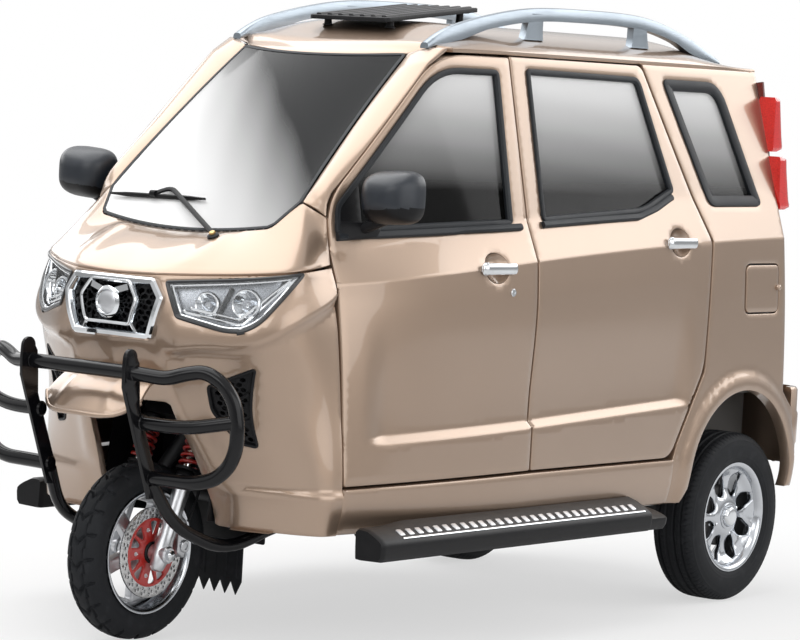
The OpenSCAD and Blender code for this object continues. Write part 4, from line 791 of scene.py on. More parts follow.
# %% Rear shell, tailgate and bumper
def back(p, z):
    """Rear surface; p runs to the right so that the normal points backwards."""
    x = -p
    mid = np.interp(z, [380, 620, 906, 1150, 1205, 1538, 1700], [1300, 1300, 1294, 1240, 1186, 1169,
        CAB_REAR])
    e = rear_edge(np.maximum(z, 650))
    w = side_x(e, np.minimum(z, EAVE))
    return np.stack([x, mid + (e - mid) * np.minimum(1, np.abs(x) / w) ** 7, z], -1)

GATE = outline([(400, 650, 30), (400, 1150, 20), (356, 1560, 30), (-356, 1560, 30), (-400, 1150, 20),
    (-400, 650, 30)])
GATE_WINDOW = outline([(342, 1225, 24), (338, 1300, 4), (306, 1520, 24), (-306, 1520, 24), (-338, 1300, 4),
    (-342, 1225, 24)])
z = np.linspace(622, 1589, 40)
shell_x = side_x(rear_edge(np.maximum(z, 650)), z) - 0.5
shell_edge = np.vstack([np.stack([shell_x, z], 1), np.stack([-shell_x, z], 1)[::-1]])
folds = [np.stack([np.linspace(-380, 380, 50), np.full(50, k)], 1) for k in (906.0, 1150.0, 1205.0)]
skin = panel(shell_edge, back, PAINT, [inset(anticlockwise(resampled(GATE, 20)), -5)], (), 16, 4.0, 30.0,
    (0, -1.0, 0))
make("rear_shell_skin", "chassis", [skin], ["rear_shell"])
skin = panel(GATE, back, PAINT, [GATE_WINDOW], folds, 16, 5.0, 30.0, (0, -1.0, 0))
make("tailgate_skin", "gate", [skin], ["tailgate"])

# %% [markdown]
# Every pane sits in a broad rubber seal. The seal is a flat profile carried round the opening; the glass
# lies a little below the paint, and a thicker strip closes the foot of each door window.

# %% Glass and seals
SEAL_SECTION = [(-9, -14), (0, -15), (5, -11), (6.5, -4), (5, 1), (-3, 3), (-9, 0)]
FOOT_SECTION = [(-4, -9), (7, -10), (11, -5), (12, 4), (8, 9), (-3, 10)]

def pane(window):
    """Door or quarter glass, a little larger than its opening and sunk behind the seal."""
    return panel(inset(anticlockwise(resampled(window, 18)), -3), side, SIDE_GLASS, (), (), 40, 0.0, 18.0,
        INWARD, -12.0)

def foot_line(points):
    """Fine polyline through a few points."""
    p = np.asarray(points, float)
    y = np.linspace(p[0, 0], p[-1, 0], 50)
    return np.stack([y, np.interp(y, p[:, 0], p[:, 1])], 1)

SAIL = outline([(-847, 1098, 4), (-757, 1102, 6), (-757, 1240, 10), (-839, 1167, 14)])
sail = panel(SAIL, side, TRIM, (), (), 14, 4.0, 30.0, INWARD, 4.0)
front_seal = strip(anticlockwise(FRONT_WINDOW), side, SEAL_SECTION, SEAL)
rear_seal = strip(anticlockwise(REAR_WINDOW), side, SEAL_SECTION, SEAL)
front_foot = strip(foot_line([(-845, 1088), (-160, 1121)]), side, FOOT_SECTION, SEAL, False)
rear_foot = strip(foot_line([(-62, 1128), (200, 1142), (405, 1152), (500, 1176), (590, 1209)]), side,
    FOOT_SECTION, SEAL, False)
for tail, body, turn in (("left", "l", lambda q: q), ("right", "r", flipped)):
    make("glass_front_pane_" + tail, "door_f" + body, [turn(pane(FRONT_WINDOW))], ["glass_front_" + tail])
    make("glass_rear_pane_" + tail, "door_r" + body, [turn(pane(REAR_WINDOW))], ["glass_rear_" + tail])
    make("front_window_seal_" + tail, "door_f" + body, [turn(front_seal), turn(front_foot), turn(sail)])
    make("rear_window_seal_" + tail, "door_r" + body, [turn(rear_seal), turn(rear_foot)])
wide_section = [(-9, -30), (1, -31), (4, -27), (5, -6), (4, 1), (-3, 3), (-9, 0)]
make("quarter_panes", "chassis", both([pane(QUARTER_WINDOW)]), ["quarter_glass"])
make("quarter_seals", "chassis", both([strip(anticlockwise(QUARTER_WINDOW), side, wide_section, SEAL)]))

screen_edge = outline([(-318.5, 1, 6), (318.5, 1, 6), (318.5, 699, 16), (-318.5, 699, 16)])
make("windscreen_pane", "chassis", [panel(screen_edge, screen, SCREEN, (), (), 26, 0.0, 6.0)],
    ["windscreen"])
screen_seal = strip(inset(screen_edge, 5), screen, [(-2, -4), (1.5, -4), (2.5, 0), (1.5, 5), (-2, 5)], SEAL)
make("windscreen_seal", "chassis", [screen_seal])

gate_pane = panel(inset(anticlockwise(resampled(GATE_WINDOW * [-1, 1], 20)), -3), back, SIDE_GLASS, (), (),
    40, 0.0, 16.0, (0, -1.0, 0), -9.0)
make("tailgate_pane", "gate", [gate_pane], ["tailgate_glass"])
make("tailgate_seal", "gate", [strip(anticlockwise(GATE_WINDOW), back, SEAL_SECTION, SEAL)])
print("glass done")

# %% [markdown]
# A headlamp is a tray with two bright bowls under a clear cover. Bright guide strips run round its lower
# and outer edge, and a dark rim frames it. The nose has a real opening there, so light falls into the tray.

# %% Headlamps
def turned(profile, centre, axis, mat, n=48, closed=False):
    """Profile of (along the axis, radius) spun about any axis."""
    pr, ax = np.asarray(profile, float), unit(np.asarray(axis, float))
    u = unit(np.cross(ax, [0.31, 0.2, 0.93]))
    v = np.cross(ax, u)
    a = np.linspace(0, 2 * np.pi, n, endpoint=False)[:, None, None]
    V = pr[None, :, :1] * ax + pr[None, :, 1:] * (np.cos(a) * u + np.sin(a) * v) + np.asarray(centre, float)
    return V.reshape(-1, 3), [quads(n, len(pr), True, closed)], mat

def bowl(p, z, r, mat, ring):
    """Reflector: a deep bright bowl with a rolled edge and a small bulb cap in the middle."""
    c = nose_bare(np.array([p]), np.array([z]))[0]
    ax = unit(facing(nose_bare, np.array([p]), np.array([z]))[0] * 0.55 + np.array([0.05, -0.9, 0.12]))
    c = c - ax * 16
    t = np.linspace(0, 1, 12)
    cup = np.stack([-30 + 30 * t ** 2, np.maximum(r * t, 0.2)], 1)
    edge = [(2, r + 1), (3, r + 4), (0, r + 7), (-8, r + 8)]
    cap = [(-14, 0.2), (-14, 5), (-17, 8), (-29, 9)]
    return [turned(np.vstack([cup, edge]), c, ax, mat), turned(cap, c, ax, ring)]

lamp_loop = anticlockwise(LAMP)
low_edge = outline([(0.27 * SPAN, 950, 6), (0.302 * SPAN, 870, 8), (0.53 * SPAN, 838, 22),
    (0.795 * SPAN, 992, 14), (0.7 * SPAN, 985, 5)])[7:28]

def guide(d):
    """Bright strip parallel to the lower and outer edge of the lamp, d further in."""
    corner = np.array([0.44 * SPAN, 935])
    p, z = (low_edge + unit(corner - low_edge) * d).T
    out = facing(nose_bare, p, z)
    return sweep(nose_bare(p, z) - out * (2 + d * 0.22), circle(4.2, 8), CHROME, out)

tray = panel(inset(lamp_loop, 1), nose_bare, TRAY, (), (), 12, 0.0, 46.0, None, -40.0)
rim = strip(lamp_loop, nose, [(-40, -6), (0, -7), (3, -5), (4, 0), (2, 3), (-12, 3)], HOUSING, True, 8)
inner_rim = strip(inset(lamp_loop, 9), nose, [(-30, -2), (-3, -3), (-1, 0), (-3, 3), (-30, 3)], CHROME,
    True, 8)
bowls = bowl(0.515 * SPAN, 913, 33, CHROME, ALLOY) + bowl(0.385 * SPAN, 906, 27, CHROME, ALLOY)
divider = sweep(nose_bare(np.linspace(0.42, 0.46, 12) * SPAN, np.linspace(870, 950, 12)) + [-4, 14, 0],
    [(-14, -3), (8, -1.5), (8, 1.5), (-14, 3)], HOUSING, (0.2, -1, 0))
cover = panel(inset(lamp_loop, 3), nose, LENS, (), (), 14, 2.0, 1.0, None, 3.0)
parts = [tray, rim, inner_rim, divider] + bowls + [guide(d) for d in (17, 31)] + [cover]
make("headlamp_units", "chassis", both(parts), ["headlamps"])

# %% [markdown]
# The grille is a bright six-sided frame over a black honeycomb, with a smaller bright bracket and a plain
# disc in the middle. The side vents use the same honeycomb behind a triangular opening.

# %% Grille and vents
def honeycomb(loop, pitch, wall, margin):
    """Hexagonal holes on a lattice that lie well inside a loop."""
    low, high = loop.min(0), loop.max(0)
    gx, gy = np.meshgrid(np.arange(low[0], high[0], pitch), np.arange(low[1], high[1], pitch * 0.866))
    gx = gx + 0.5 * pitch * (np.arange(len(gx))[:, None] % 2)
    c = np.stack([gx.ravel(), gy.ravel()], 1)
    c = c[inside(c, loop) & (distance(c, [loop]) > margin)]
    a = np.radians(np.arange(30, 390, 60))
    return [k + (pitch - wall) * 0.577 * np.stack([np.cos(a), np.sin(a)], 1) for k in c]

grille_loop = anticlockwise(GRILLE)
mesh_loop = inset(resampled(grille_loop, 12), 6)
comb = panel(mesh_loop, nose_bare, TRIM, honeycomb(mesh_loop, 17, 5.0, 10), (), 10, 1.2, 26.0, None, -14.0)
pit = panel(mesh_loop, nose_bare, TRIM, (), (), 20, 0.0, 40.0, None, -34.0)
frame_bar = strip(grille_loop, nose_bare, [(-16, -17), (8, -17), (13, -14), (14, -4), (10, 2), (-4, 4)],
    CHROME, True, 8)
bracket_loop = outline([(-0.125 * SPAN, 842, 8), (0.125 * SPAN, 842, 8), (0.155 * SPAN, 905, 10),
    (0.12 * SPAN, 946, 8), (-0.12 * SPAN, 946, 8), (-0.155 * SPAN, 905, 10)])
bracket = strip(bracket_loop, nose_bare, [(-14, -4), (16, -4), (19, -1), (19, 3), (15, 6), (-14, 6)],
    CHROME, True, 8)
struts = [strip(np.array([(s * 0.128 * SPAN, 843), (s * 0.15 * SPAN, 816)]), nose_bare,
    [(-10, -5), (9, -5), (11, 0), (9, 5), (-10, 5)], CHROME, False) for s in (-1, 1)]
hub = nose_bare(np.array([0.0]), np.array([892.0]))[0]
boss = [turned([(-18, 46), (16, 42), (21, 36), (22, 33), (18, 31.5), (17, 30)], hub, (0, -1, 0), CHROME),
        turned([(16, 31), (19, 26), (20.5, 14), (21, 0.2)], hub, (0, -1, 0), SATIN)]
wings = [sweep(np.array([(0, hub[1] - 6, hub[2] + 24), (s * 62, hub[1] - 2, hub[2] + 43.2)]),
    [(-6, -10), (8, -8), (8, 8), (-6, 10)], CHROME, (0, -1, 0)) for s in (-1, 1)]
make("grille_unit", "chassis", [comb, pit, frame_bar, bracket] + struts + boss + wings, ["grille"])

vent_loop = anticlockwise(VENT)
mesh_loop = inset(resampled(vent_loop, 10), 2)
comb = panel(mesh_loop, nose_bare, TRIM, honeycomb(mesh_loop, 15, 4.5, 9), (), 9, 1.0, 16.0, None, -8.0)
pit = panel(vent_loop, nose_bare, TRIM, (), (), 20, 0.0, 34.0, None, -26.0)
rim = strip(vent_loop, nose_bare, [(-22, -3), (1, -3), (2.5, 0), (1.5, 4), (-10, 4)], TRIM, True, 10)
bars = [strip(np.array([(0.455 * SPAN, 640 + k), (0.55 * SPAN, 690 + k * 1.6)]), nose_bare,
    [(-10, -5), (-2, -4), (-1, 0), (-2, 4), (-10, 5)], TRIM, False) for k in (-6, -48)]
make("side_vent_units", "chassis", both([comb, pit, rim] + bars), ["side_vents"])
print("front trim done")

# %% [markdown]
# The beak is a short painted mudguard that juts out over the front wheel: a shell that curves down to a
# rolled lip.

# %% Beak
BEAK_HALF, BEAK_LONG = 166, 190

def beak(p, q):
    """Beak: x = p, and q runs from the nose to the lip along a falling curve."""
    t, u = np.clip(q / BEAK_LONG, -0.2, 1.2), p / BEAK_HALF
    mid = spline([(-1196, 742), (-1262, 708), (-1320, 666), (-1362, 612)], t)
    rib = 5 * np.exp(-((np.abs(p) - 62 - 26 * t) / 13) ** 2) * ease(t / 0.25) * ease((1 - t) / 0.2)
    root = nose_bare(np.clip(p, -150, 150) * 0.76, np.full_like(p, 735.0))[..., 1]
    y = mid[..., 0] + 34 * u * u * t + (1 - ease(t * 3)) * (root + 30 - mid[..., 0])
    return np.stack([p * (0.94 + 0.06 * t), y, mid[..., 1] - 18 * u * u + rib], -1)

u = np.linspace(-1, 1, 50)
lip_line = BEAK_LONG - 66 * np.abs(u) ** 3.2
beak_edge = np.vstack([np.stack([BEAK_HALF * u, lip_line], 1), [(158, 60), (148, 0), (-148, 0), (-158, 60)]])
edge_turned = anticlockwise(beak_edge * [-1, 1])
shell = panel(edge_turned, lambda p, q: beak(-p, q), PAINT, (), (), 11, 4.0, 9.0)
lip = sweep(beak(BEAK_HALF * u, lip_line) + [0, 3, -3], circle(6.5, 10), PAINT, (0, 0, 1))
make("beak_shell", "chassis", [shell, lip], ["front_beak"])

# %% [markdown]
# The bull bar is bent steel tube welded to two flat plates, in gloss black enamel. Its lower tubes run back
# under the nose to the frame rails.

# %% Bull bar
PLATE_X = 177

def bar_y(z):
    """Where the leaning front plates of the bull bar are at a height."""
    return -1240 + (-1362 + 1240) * (z - 400) / 390

crown = np.radians(np.linspace(0, 180, 14))
plate = np.vstack([[(-1265, 400), (-1217, 400)], [(-1318, 640), (-1322, 700), (-1328, 752)],
    np.stack([-1359.5 + 23 * np.cos(crown), 764 + 24 * np.sin(crown)], 1),
    [(-1384, 740), (-1382, 690), (-1362, 640)]])
upright = lambda y, z: np.stack([np.full_like(y, 182.0), y, z], -1)
side_plate = panel(plate, upright, BAR, (), (), 20, 2.0, 10.0, INWARD)
hoop = [(PLATE_X, bar_y(726), 726), (262, -1312, 719), (309, -1294, 736), (356, -1275, 745),
    (404, -1256, 716), (432, -1245, 672), (443, -1241, 610), (441, -1240, 556), (424, -1241, 512),
    (389, -1250, 475), (331, -1262, 457), (PLATE_X, bar_y(455), 454)]
weld = [turned([(-9, 15.5), (-4, 21), (4, 21), (9, 15.5)], (PLATE_X, bar_y(z), z), (1, 0, 0), BAR, 24)
    for z in (726, 598, 454)]
half = [side_plate, tube(hoop, 38, BAR, 40, 18), tube([(PLATE_X, bar_y(598), 598), (309, -1288, 596),
    (440, -1241, 624)], 36, BAR, 90, 18), tube([(PLATE_X, bar_y(440), 440), (200, -1186, 330),
    (229, -1010, 252), (280, -850, 324), (280, -700, 324.2)], 34, BAR, 90, 16)] + weld
cross = tube([(-PLATE_X, bar_y(726), 726), (PLATE_X, bar_y(726), 726)], 38, BAR, n=18)
make("bull_bar_welded", "chassis", both(half) + [cross], ["bull_bar"])

# %% [markdown]
# Tyres are spun profiles whose radius drops in the grooves. The front one has deep chevrons like a motorcycle
# tyre; the rear ones have car treads with long grooves, fine shoulder sipes and raised rings on the sidewall.

# %% Tyres
FRONT_AXLE, REAR_AXLE = np.array([0.0, -1095, 235]), np.array([470.0, 995, 254])

def tyre(half, depth, centre, n, m, rings=()):
    """Half profile (x, radius) mirrored and spun; depth(angle, x) is how far the tread sinks."""
    p = np.asarray(half, float)
    t = np.linspace(0, 1, m)
    right = spline(p, t)
    profile = np.vstack([right[:0:-1] * [-1, 1], right])
    raised = sum(h * np.exp(-((profile[:, 1] - r) / w) ** 2) for r, w, h in rings)
    profile[:, 0] += np.sign(profile[:, 0]) * raised
    a = np.linspace(0, 2 * np.pi, n, endpoint=False)[:, None]
    r = np.minimum(profile[None, :, 1] - depth(a, profile[None, :, 0]), p[0, 1])
    x = np.broadcast_to(profile[:, 0], r.shape)
    V = np.stack([x, r * np.cos(a), r * np.sin(a)], -1) + centre
    return V.reshape(-1, 3), [quads(n, len(profile), True, True)], RUBBER

def groove(distance_mm, width, depth):
    """Flat-bottomed groove: full depth within half the width, then a steep wall."""
    return depth * np.clip((width / 2 + 0.8 - np.abs(distance_mm)) / 1.6, 0, 1)

def chevrons(a, x):
    """Slanted grooves that meet at the crown, a zigzag along each side and plain sidewalls."""
    pitch = 2 * np.pi * 235 / 22
    t = np.abs(x)
    lag = np.where(t < 20, t * 1.15, 23 + (t - 20) * 0.25)
    along = (a * 235 + lag) % pitch - pitch / 2
    zig = t - 21 - 2.5 * np.sign(along)
    edge = ease((46 - t) / 4)
    cross = groove(along * np.where(t < 20, 0.66, 0.97), 8, 7.0)
    return np.maximum(cross * edge, groove(zig, 5, 5.0))

def road_tread(a, x):
    """Four long grooves and fine sipes across the shoulders."""
    t = np.abs(x)
    long = groove(t - 13, 6, 6.0) + groove(t - 38, 6, 6.0)
    along = (a * 254 + 0.25 * t) % 17.7 - 8.85
    sipe = groove(along, 3.2, 2.6) * ease((t - 42) / 4) * ease((67 - t) / 5)
    fine = groove((a * 254 - 0.3 * t) % 17.7 - 8.85, 2.0, 2.0) * (np.abs(t - 25) < 10)
    return np.maximum(np.maximum(long, sipe), fine)

front = tyre([(0, 235), (17, 233.6), (32, 229), (43, 220), (47.5, 209), (49.6, 197), (48, 182), (43, 167),
    (36, 160.5)], chevrons, FRONT_AXLE, 484, 44, ((187, 2.2, 0.4),))
make("front_tyre_tread", "front_wheel", [front], ["front_tyre"], 30)
rear = tyre([(0, 254), (22, 254), (44, 252.6), (56, 248.5), (65, 239), (69.5, 226), (72, 206), (71, 188),
    (65.5, 170), (57, 160.5)], road_tread, REAR_AXLE, 540, 62, ((232, 1.6, 0.8), (216, 1.3, 0.8),
    (184, 2.5, 0.9), (176, 1.2, 1.0)))
make("rear_tyre_tread_left", "rear_wheel_left", [rear], ["rear_tyre_left"], 30)
make("rear_tyre_tread_right", "rear_wheel_right", [flipped(rear)], ["rear_tyre_right"], 30)

# %% [markdown]
# Wheels are built the same way: a barrel spun from its section, and a face that is a round panel with
# windows cut out of it. The front wheel is a five-spoke casting with a drilled disc on a red spider. The
# rear wheels have eight polished petals that flare towards the rim, with four nuts and a plain cap.

# %% Wheels
def ring_of(r, n=72):
    """Fine circle for a wheel face."""
    return circle(r, n)

def window(inner, outer, low, high, turn, round_in=12.0, round_out=12.0):
    """Opening of a wheel face between two radii; low and high are its half angles there, in degrees."""
    c, s = np.cos(np.radians(turn)), np.sin(np.radians(turn))
    corners = [(inner, -low, round_in), (outer, -high, round_out), (outer * 1.02, 0, 2),
        (outer, high, round_out), (inner, low, round_in)]
    loop = outline([(r * np.cos(np.radians(g)), r * np.sin(np.radians(g)), b) for r, g, b in corners], 6)
    return np.stack([loop[:, 0] * c - loop[:, 1] * s, loop[:, 0] * s + loop[:, 1] * c], 1)

def wheel_plane(centre, x=lambda r: 0 * r):
    """Face of a wheel: a disc across the axle whose depth depends on the radius."""
    return lambda p, q: np.stack([centre[0] + x(np.hypot(p, q)), centre[1] + p, centre[2] + q], -1)

def bolt(centre, r, h, mat):
    """Six-sided nut with a washer and a domed end."""
    a = np.radians(np.arange(0, 360, 60))
    hexagon = np.stack([r * np.cos(a), r * np.sin(a)], 1)
    flat = lambda p, q: np.stack([centre[0] + h + 0 * p, centre[1] + p, centre[2] + q], -1)
    return [panel(hexagon, flat, mat, (), (), r * 0.6, 1.6, h, INWARD),
        spun([(0, r * 1.35), (2, r * 1.3), (2, r * 0.6)], centre, mat, 24, False),
        spun([(h, r * 0.62), (h + 4, r * 0.55), (h + 6, r * 0.3), (h + 6.5, 0.1)], centre, mat, 20, False)]

half_lip = [(43, 160), (45, 164), (46.6, 163.5), (46.5, 158), (42, 152), (36, 149.5), (29, 145), (16, 139),
    (0, 137)]
barrel = spun([(-43, 160)] + half_lip + [(-x, r) for x, r in half_lip[-2:0:-1]], FRONT_AXLE, ALLOY, 120)
spokes = panel(ring_of(141), wheel_plane(FRONT_AXLE, lambda r: 12 - 8 * ease((r - 40) / 90)), SATIN,
    [ring_of(11, 24)] + [window(56, 133, 17, 27.5, 72 * k + 20) for k in range(5)], (), 9, 4.0, 24.0, INWARD)
hub = spun([(-45.5, 11), (-45.5, 25), (-40, 30), (-20, 33), (20, 33), (40, 30), (45.5, 27), (45.5, 11)],
    FRONT_AXLE, SATIN, 48)
make("front_wheel_casting", "front_wheel", [barrel, spokes, hub], ["front_rim"])

rows = [(97, 0), (111, 0), (104, 5)]
holes = [circle(3.6, 8) + r * np.array([np.cos(g), np.sin(g)])
    for r, o in rows for g in np.radians(np.arange(o, 360 + o, 15))]
disc = panel(ring_of(120, 120), wheel_plane(FRONT_AXLE, lambda r: 51 + 0 * r), DISC, [ring_of(88)] + holes,
    (), 9, 0.6, 5.0, INWARD)
arms = [window(47, 82, 5, 11, 36 * k + 18 + (5 if k % 2 else -5), 4, 5) for k in range(10)]
spider = panel(ring_of(91), wheel_plane(FRONT_AXLE, lambda r: 52.5 + 0 * r), RED_METAL,
    [ring_of(13, 24)] + arms, (), 7, 1.5, 7.0, INWARD)
studs = sum([bolt(FRONT_AXLE + [52, 63 * np.cos(g), 63 * np.sin(g)], 4.2, 2.2, SATIN)
    for g in np.radians(72 * np.arange(5) + 36)], [])
boss = spun([(45.6, 30), (55, 29), (57.5, 26), (57.5, 14), (50, 13)], FRONT_AXLE, TRIM, 40, False)
make("brake_disc_drilled", "front_wheel", [disc, spider, boss] + studs, ["brake_disc"])

PETALS = 8
petal_half = np.array([(63, 0.1), (66, 9), (74, 17.5), (86, 23), (100, 25), (114, 23), (126, 18.5),
    (136, 12.5), (137.5, 6), (138, 0.1)])
def petal(turn):
    """Opening between two spokes: wide near the hub, narrow at the rim, so the spokes flare like petals."""
    loop = np.vstack([petal_half, petal_half[-2:0:-1] * [1, -1]])
    c, s = np.cos(turn), np.sin(turn)
    return np.stack([loop[:, 0] * c - loop[:, 1] * s, loop[:, 0] * s + loop[:, 1] * c], 1)

dish_x = lambda r: 44 - 12 * ease((r - 40) / 45) + 16 * ease((r - 112) / 34)
turns = 2 * np.pi * (np.arange(PETALS) + 0.5) / PETALS
face = panel(ring_of(147, 144), wheel_plane(REAR_AXLE, dish_x), ALLOY, [ring_of(25.6, 48)] + [petal(g)
    for g in turns], (), 8, 5.0, 14.0, INWARD)
lip = spun([(-61, 160), (61, 160), (63, 165), (65, 164.5), (65, 158), (61, 152), (55, 148.5), (48, 146),
    (40, 142), (18, 138), (-40, 140), (-58, 150), (-64, 158), (-64, 164)], REAR_AXLE, ALLOY, 144)
drum = spun([(-80, 26), (-80, 92), (8, 92), (14, 86), (16, 60), (16, 26)], REAR_AXLE, IRON, 64)
cap = spun([(30, 34), (40, 33), (50, 31), (57, 28.5), (60, 25), (61, 18), (61.5, 0.1)], REAR_AXLE, CHROME,
    48, False)
collar = spun([(36, 41), (46, 40), (47.5, 37), (47, 32)], REAR_AXLE, ALLOY, 48, False)
nuts = sum([bolt(REAR_AXLE + [16, 57.15 * np.cos(g), 57.15 * np.sin(g)], 8.5, 20, CHROME)
    for g in np.radians(90 * np.arange(4) + 22.5)], [])
wheel = [face, lip, drum, cap, collar] + nuts
make("rear_wheel_petals_left", "rear_wheel_left", wheel, ["rear_rim_left"])
make("rear_wheel_petals_right", "rear_wheel_right", [flipped(p) for p in wheel], ["rear_rim_right"])
print("wheels done")

# %% [markdown]
# The fork follows the rake of the steering axis. Everything on it is placed by its height along a leg:
# polished sliders, rubber boots, bright tubes with red coil springs, two black clamps, the brake caliper
# and amber reflectors.

# %% Fork and wheel well
RAKE = np.radians(22.0)
LEG, REAR = np.array([0, np.sin(RAKE), np.cos(RAKE)]), np.array([0, np.cos(RAKE), -np.sin(RAKE)])

def on_fork(x, rear, h):
    """Point at x across, rear behind the leg and h up the leg from the axle."""
    x, rear, h = (np.asarray(k)[..., None] for k in (x, rear, h))
    return FRONT_AXLE + x * [1.0, 0, 0] + rear * REAR + h * LEG

def leg_part(profile, mat, n=36):
    """Round part on the left fork leg."""
    return turned(profile, on_fork(85.0, 0.0, 0.0), LEG, mat, n)

turn = np.linspace(0, 2 * np.pi * 6.5, 190)
coil = sweep(on_fork(85 + 25 * np.cos(turn), 25 * np.sin(turn), 238 + 124 * turn / turn[-1]),
    circle(4.6, 10), RED_METAL, LEG)
slider = leg_part([(-46, 0.2), (-46, 13), (-41, 18), (-30, 20.5), (-14, 24.5), (18, 25), (40, 22),
    (150, 22.5), (188, 24), (208, 25.5), (213, 24), (214, 18)], SATIN)
foot = turned([(-30, 0.2), (-30, 19), (-26, 23), (26, 23), (31, 19), (31, 0.2)], on_fork(85.0, 0.0, 0.0),
    (1, 0, 0), SATIN, 36)
boot = leg_part([(213, 22), (216, 25), (224, 24), (228, 20), (230, 17)], TRIM)
stanchion = leg_part([(212, 16.5), (548, 16.5), (552, 14), (552, 0.2)], CHROME)
seats = [leg_part([(h, 17), (h, 31), (h + 4, 32), (h + 8, 31), (h + 8, 17)], TRIM) for h in (230, 360)]
at = on_fork(111.0, 22.0, 252.0)
reflector = [turned([(-3, 0.2), (-3, 15), (3, 15), (5, 13)], at, (1, 0.1, 0), TRIM, 32),
    turned([(4.5, 13), (6.5, 11), (7.5, 6), (8, 0.2)], at, (1, 0.1, 0), AMBER, 32)]
stay = sweep(on_fork(np.array([85.0, 96, 110]), np.array([8.0, 18, 22]), np.array([236.0, 246, 252])),
    [(-6, -2), (6, -2), (6, 2), (-6, 2)], TRIM, LEG)
nut = turned([(30, 15), (37, 15), (39, 12), (40, 0.2)], on_fork(85.0, 0.0, 0.0), (1, 0, 0), CHROME, 6)
side_parts = [slider, foot, boot, stanchion, coil, stay, nut] + seats + reflector
clamp_edge = outline([(-113, -28, 22), (113, -28, 22), (113, 20, 22), (44, 68, 24), (-44, 68, 24),
    (-113, 20, 22)])
def clamp(h, t):
    """Fork clamp at a height, with its thickness."""
    return panel(anticlockwise(clamp_edge), lambda p, q: on_fork(p, q, np.full_like(p, h)), TRIM, (), (),
        16, 3.0, t, -LEG)
stem = turned([(370, 0.2), (370, 16.9), (859, 16.9), (859, 0.2)], on_fork(0.0, 40.0, 0.0), LEG, FRAME, 32)
caliper_edge = outline([(30, 122, 10), (66, 114, 14), (98, 70, 14), (100, 18, 10), (66, 22, 10),
    (46, 74, 14)])
caliper_face = lambda p, q: on_fork(np.full_like(p, 81.0), p, q)
pistons = [turned([(-2, 17), (4, 16.5), (6, 14), (6, 9), (3, 8), (3, 0.2)], on_fork(81.0, c[0], c[1]),
    (1, 0, 0), SATIN, 32) for c in ((72.0, 86.0), (84.0, 48.0))]
caliper = [panel(anticlockwise(caliper_edge), caliper_face, SATIN, (), (), 9, 5.0, 25.0, INWARD)] + pistons
hose = tube(on_fork(np.array([80.0, 96, 96, 60]), np.array([70.0, 60, 44, 40]),
    np.array([112.0, 190, 300, 390])), 8, TRIM, 60, 10)
make("fork_assembly", "steering", both(side_parts) + [clamp(400, 30), clamp(552, 22), stem, hose] + caliper,
    ["fork"])

# Black plates round the front wheel well and across its back: painted shade for the dark inside of the well.
well = [(-1040, 330), (-1000, 600), (-960, 690), (-800, 690), (-800, 300)]
plate = panel(np.array(well), lambda y, z: np.stack([np.full_like(y, 188.0), y, z], -1), TRIM, (), (), 30,
    2.0, 4.0, INWARD)
bulkhead = panel(outline([(-188, 250, 8), (188, 250, 8), (188, 690, 8), (-188, 690, 8)]),
    lambda x, z: np.stack([x, np.full_like(x, -798.0), z], -1), TRIM, (), (), 30, 2.0, 3.0, (0, 1.0, 0))
make("wheel_well_painted_shade", "chassis", both([plate]) + [bulkhead])
print("fork done")

# %% [markdown]
# Long parts whose section changes along the way are lofts: a stack of closed sections with the same number
# of points. The running boards are such lofts, with a raised inner edge, a bright strip and a row of square
# studs.

# %% Running boards
def loft(sections, mat):
    """Closed sections (n, m, 3) joined into a skin, with both ends closed."""
    V = np.asarray(sections, float)
    n, m = V.shape[:2]
    ends = [np.arange(m)[None, ::-1], np.arange(m)[None] + (n - 1) * m]
    return V.reshape(-1, 3), [quads(n, m, False, True)] + ends, mat

def board_section(y):
    """Section of the board at a station y: the inner edge rises behind the front block, the tail is lower."""
    rise = 9 * ease((y + 800) / 120)
    tail = ease((y - 376) / 8)
    end = 1 - 0.07 * (1 - ease((y + 880) / 12)) - 0.10 * ease((y - 460) / 10)
    x = np.array([556, 554, 553, 560, 572, 592, 620, 636, 644, 645.5, 643, 634, 570, 558.0])
    z = np.array([268, 300, 340 + rise, 347 + rise, 348 + rise * 0.5, 346, 333, 323, 315, 303, 278, 266,
        264, 265])
    z = z - tail * np.clip(z - 280, 0, None) * 0.45
    x = x - tail * np.clip(x - 590, 0, None) * 0.12
    return np.stack([600 + (x - 600) * end, np.full_like(x, y), 300 + (z - 300) * end], 1)

stations = np.unique(np.concatenate([[-880, -876, -869], np.linspace(-860, 370, 60),
    np.linspace(373, 390, 10), [420, 455, 460, 465, 470]]))
board = loft(np.array([board_section(y) for y in stations])[:, ::-1], TRIM)
trim_y = np.linspace(-780, 352, 60)
bright = sweep(np.stack([np.full(60, 635.0), trim_y, np.full(60, 323.5)], 1),
    [(-2, -3), (1.5, -3), (2.6, -1), (2.6, 1), (1.5, 3), (-2, 3)], CHROME, (0.5, 0, 0.86))
stud_plane = lambda x, y: np.stack([x, y, 345.5 - 0.60 * (x - 602)], -1)
studs = [panel(outline([(606, y, 3), (626, y, 3), (626, y + 21, 3), (606, y + 21, 3)], 3), stud_plane,
    SATIN, (), (), 9, 1.0, 5.0, (0, 0, -1.0)) for y in np.arange(-778, 330, 40.0)]
stays = [sweep(np.array([(300.6, y, 372), (301, y, 300), (306, y, 284), (560, y, 280)]),
    [(-11, -20), (-11, 20), (-5, 22), (5, 22), (11, 20), (11, -20)], FRAME, (0.5, 0, 1.0))
    for y in (-538.0, 442.0)]
make("running_board_units", "chassis", both([board, bright] + studs + stays), ["running_boards"])

# %% [markdown]
# Roof rails are flat alloy blades cut to a long arch, with broad feet at the ends and two wedge legs.
# Between them a dark ribbed panel stands on four short feet over the front of the roof.

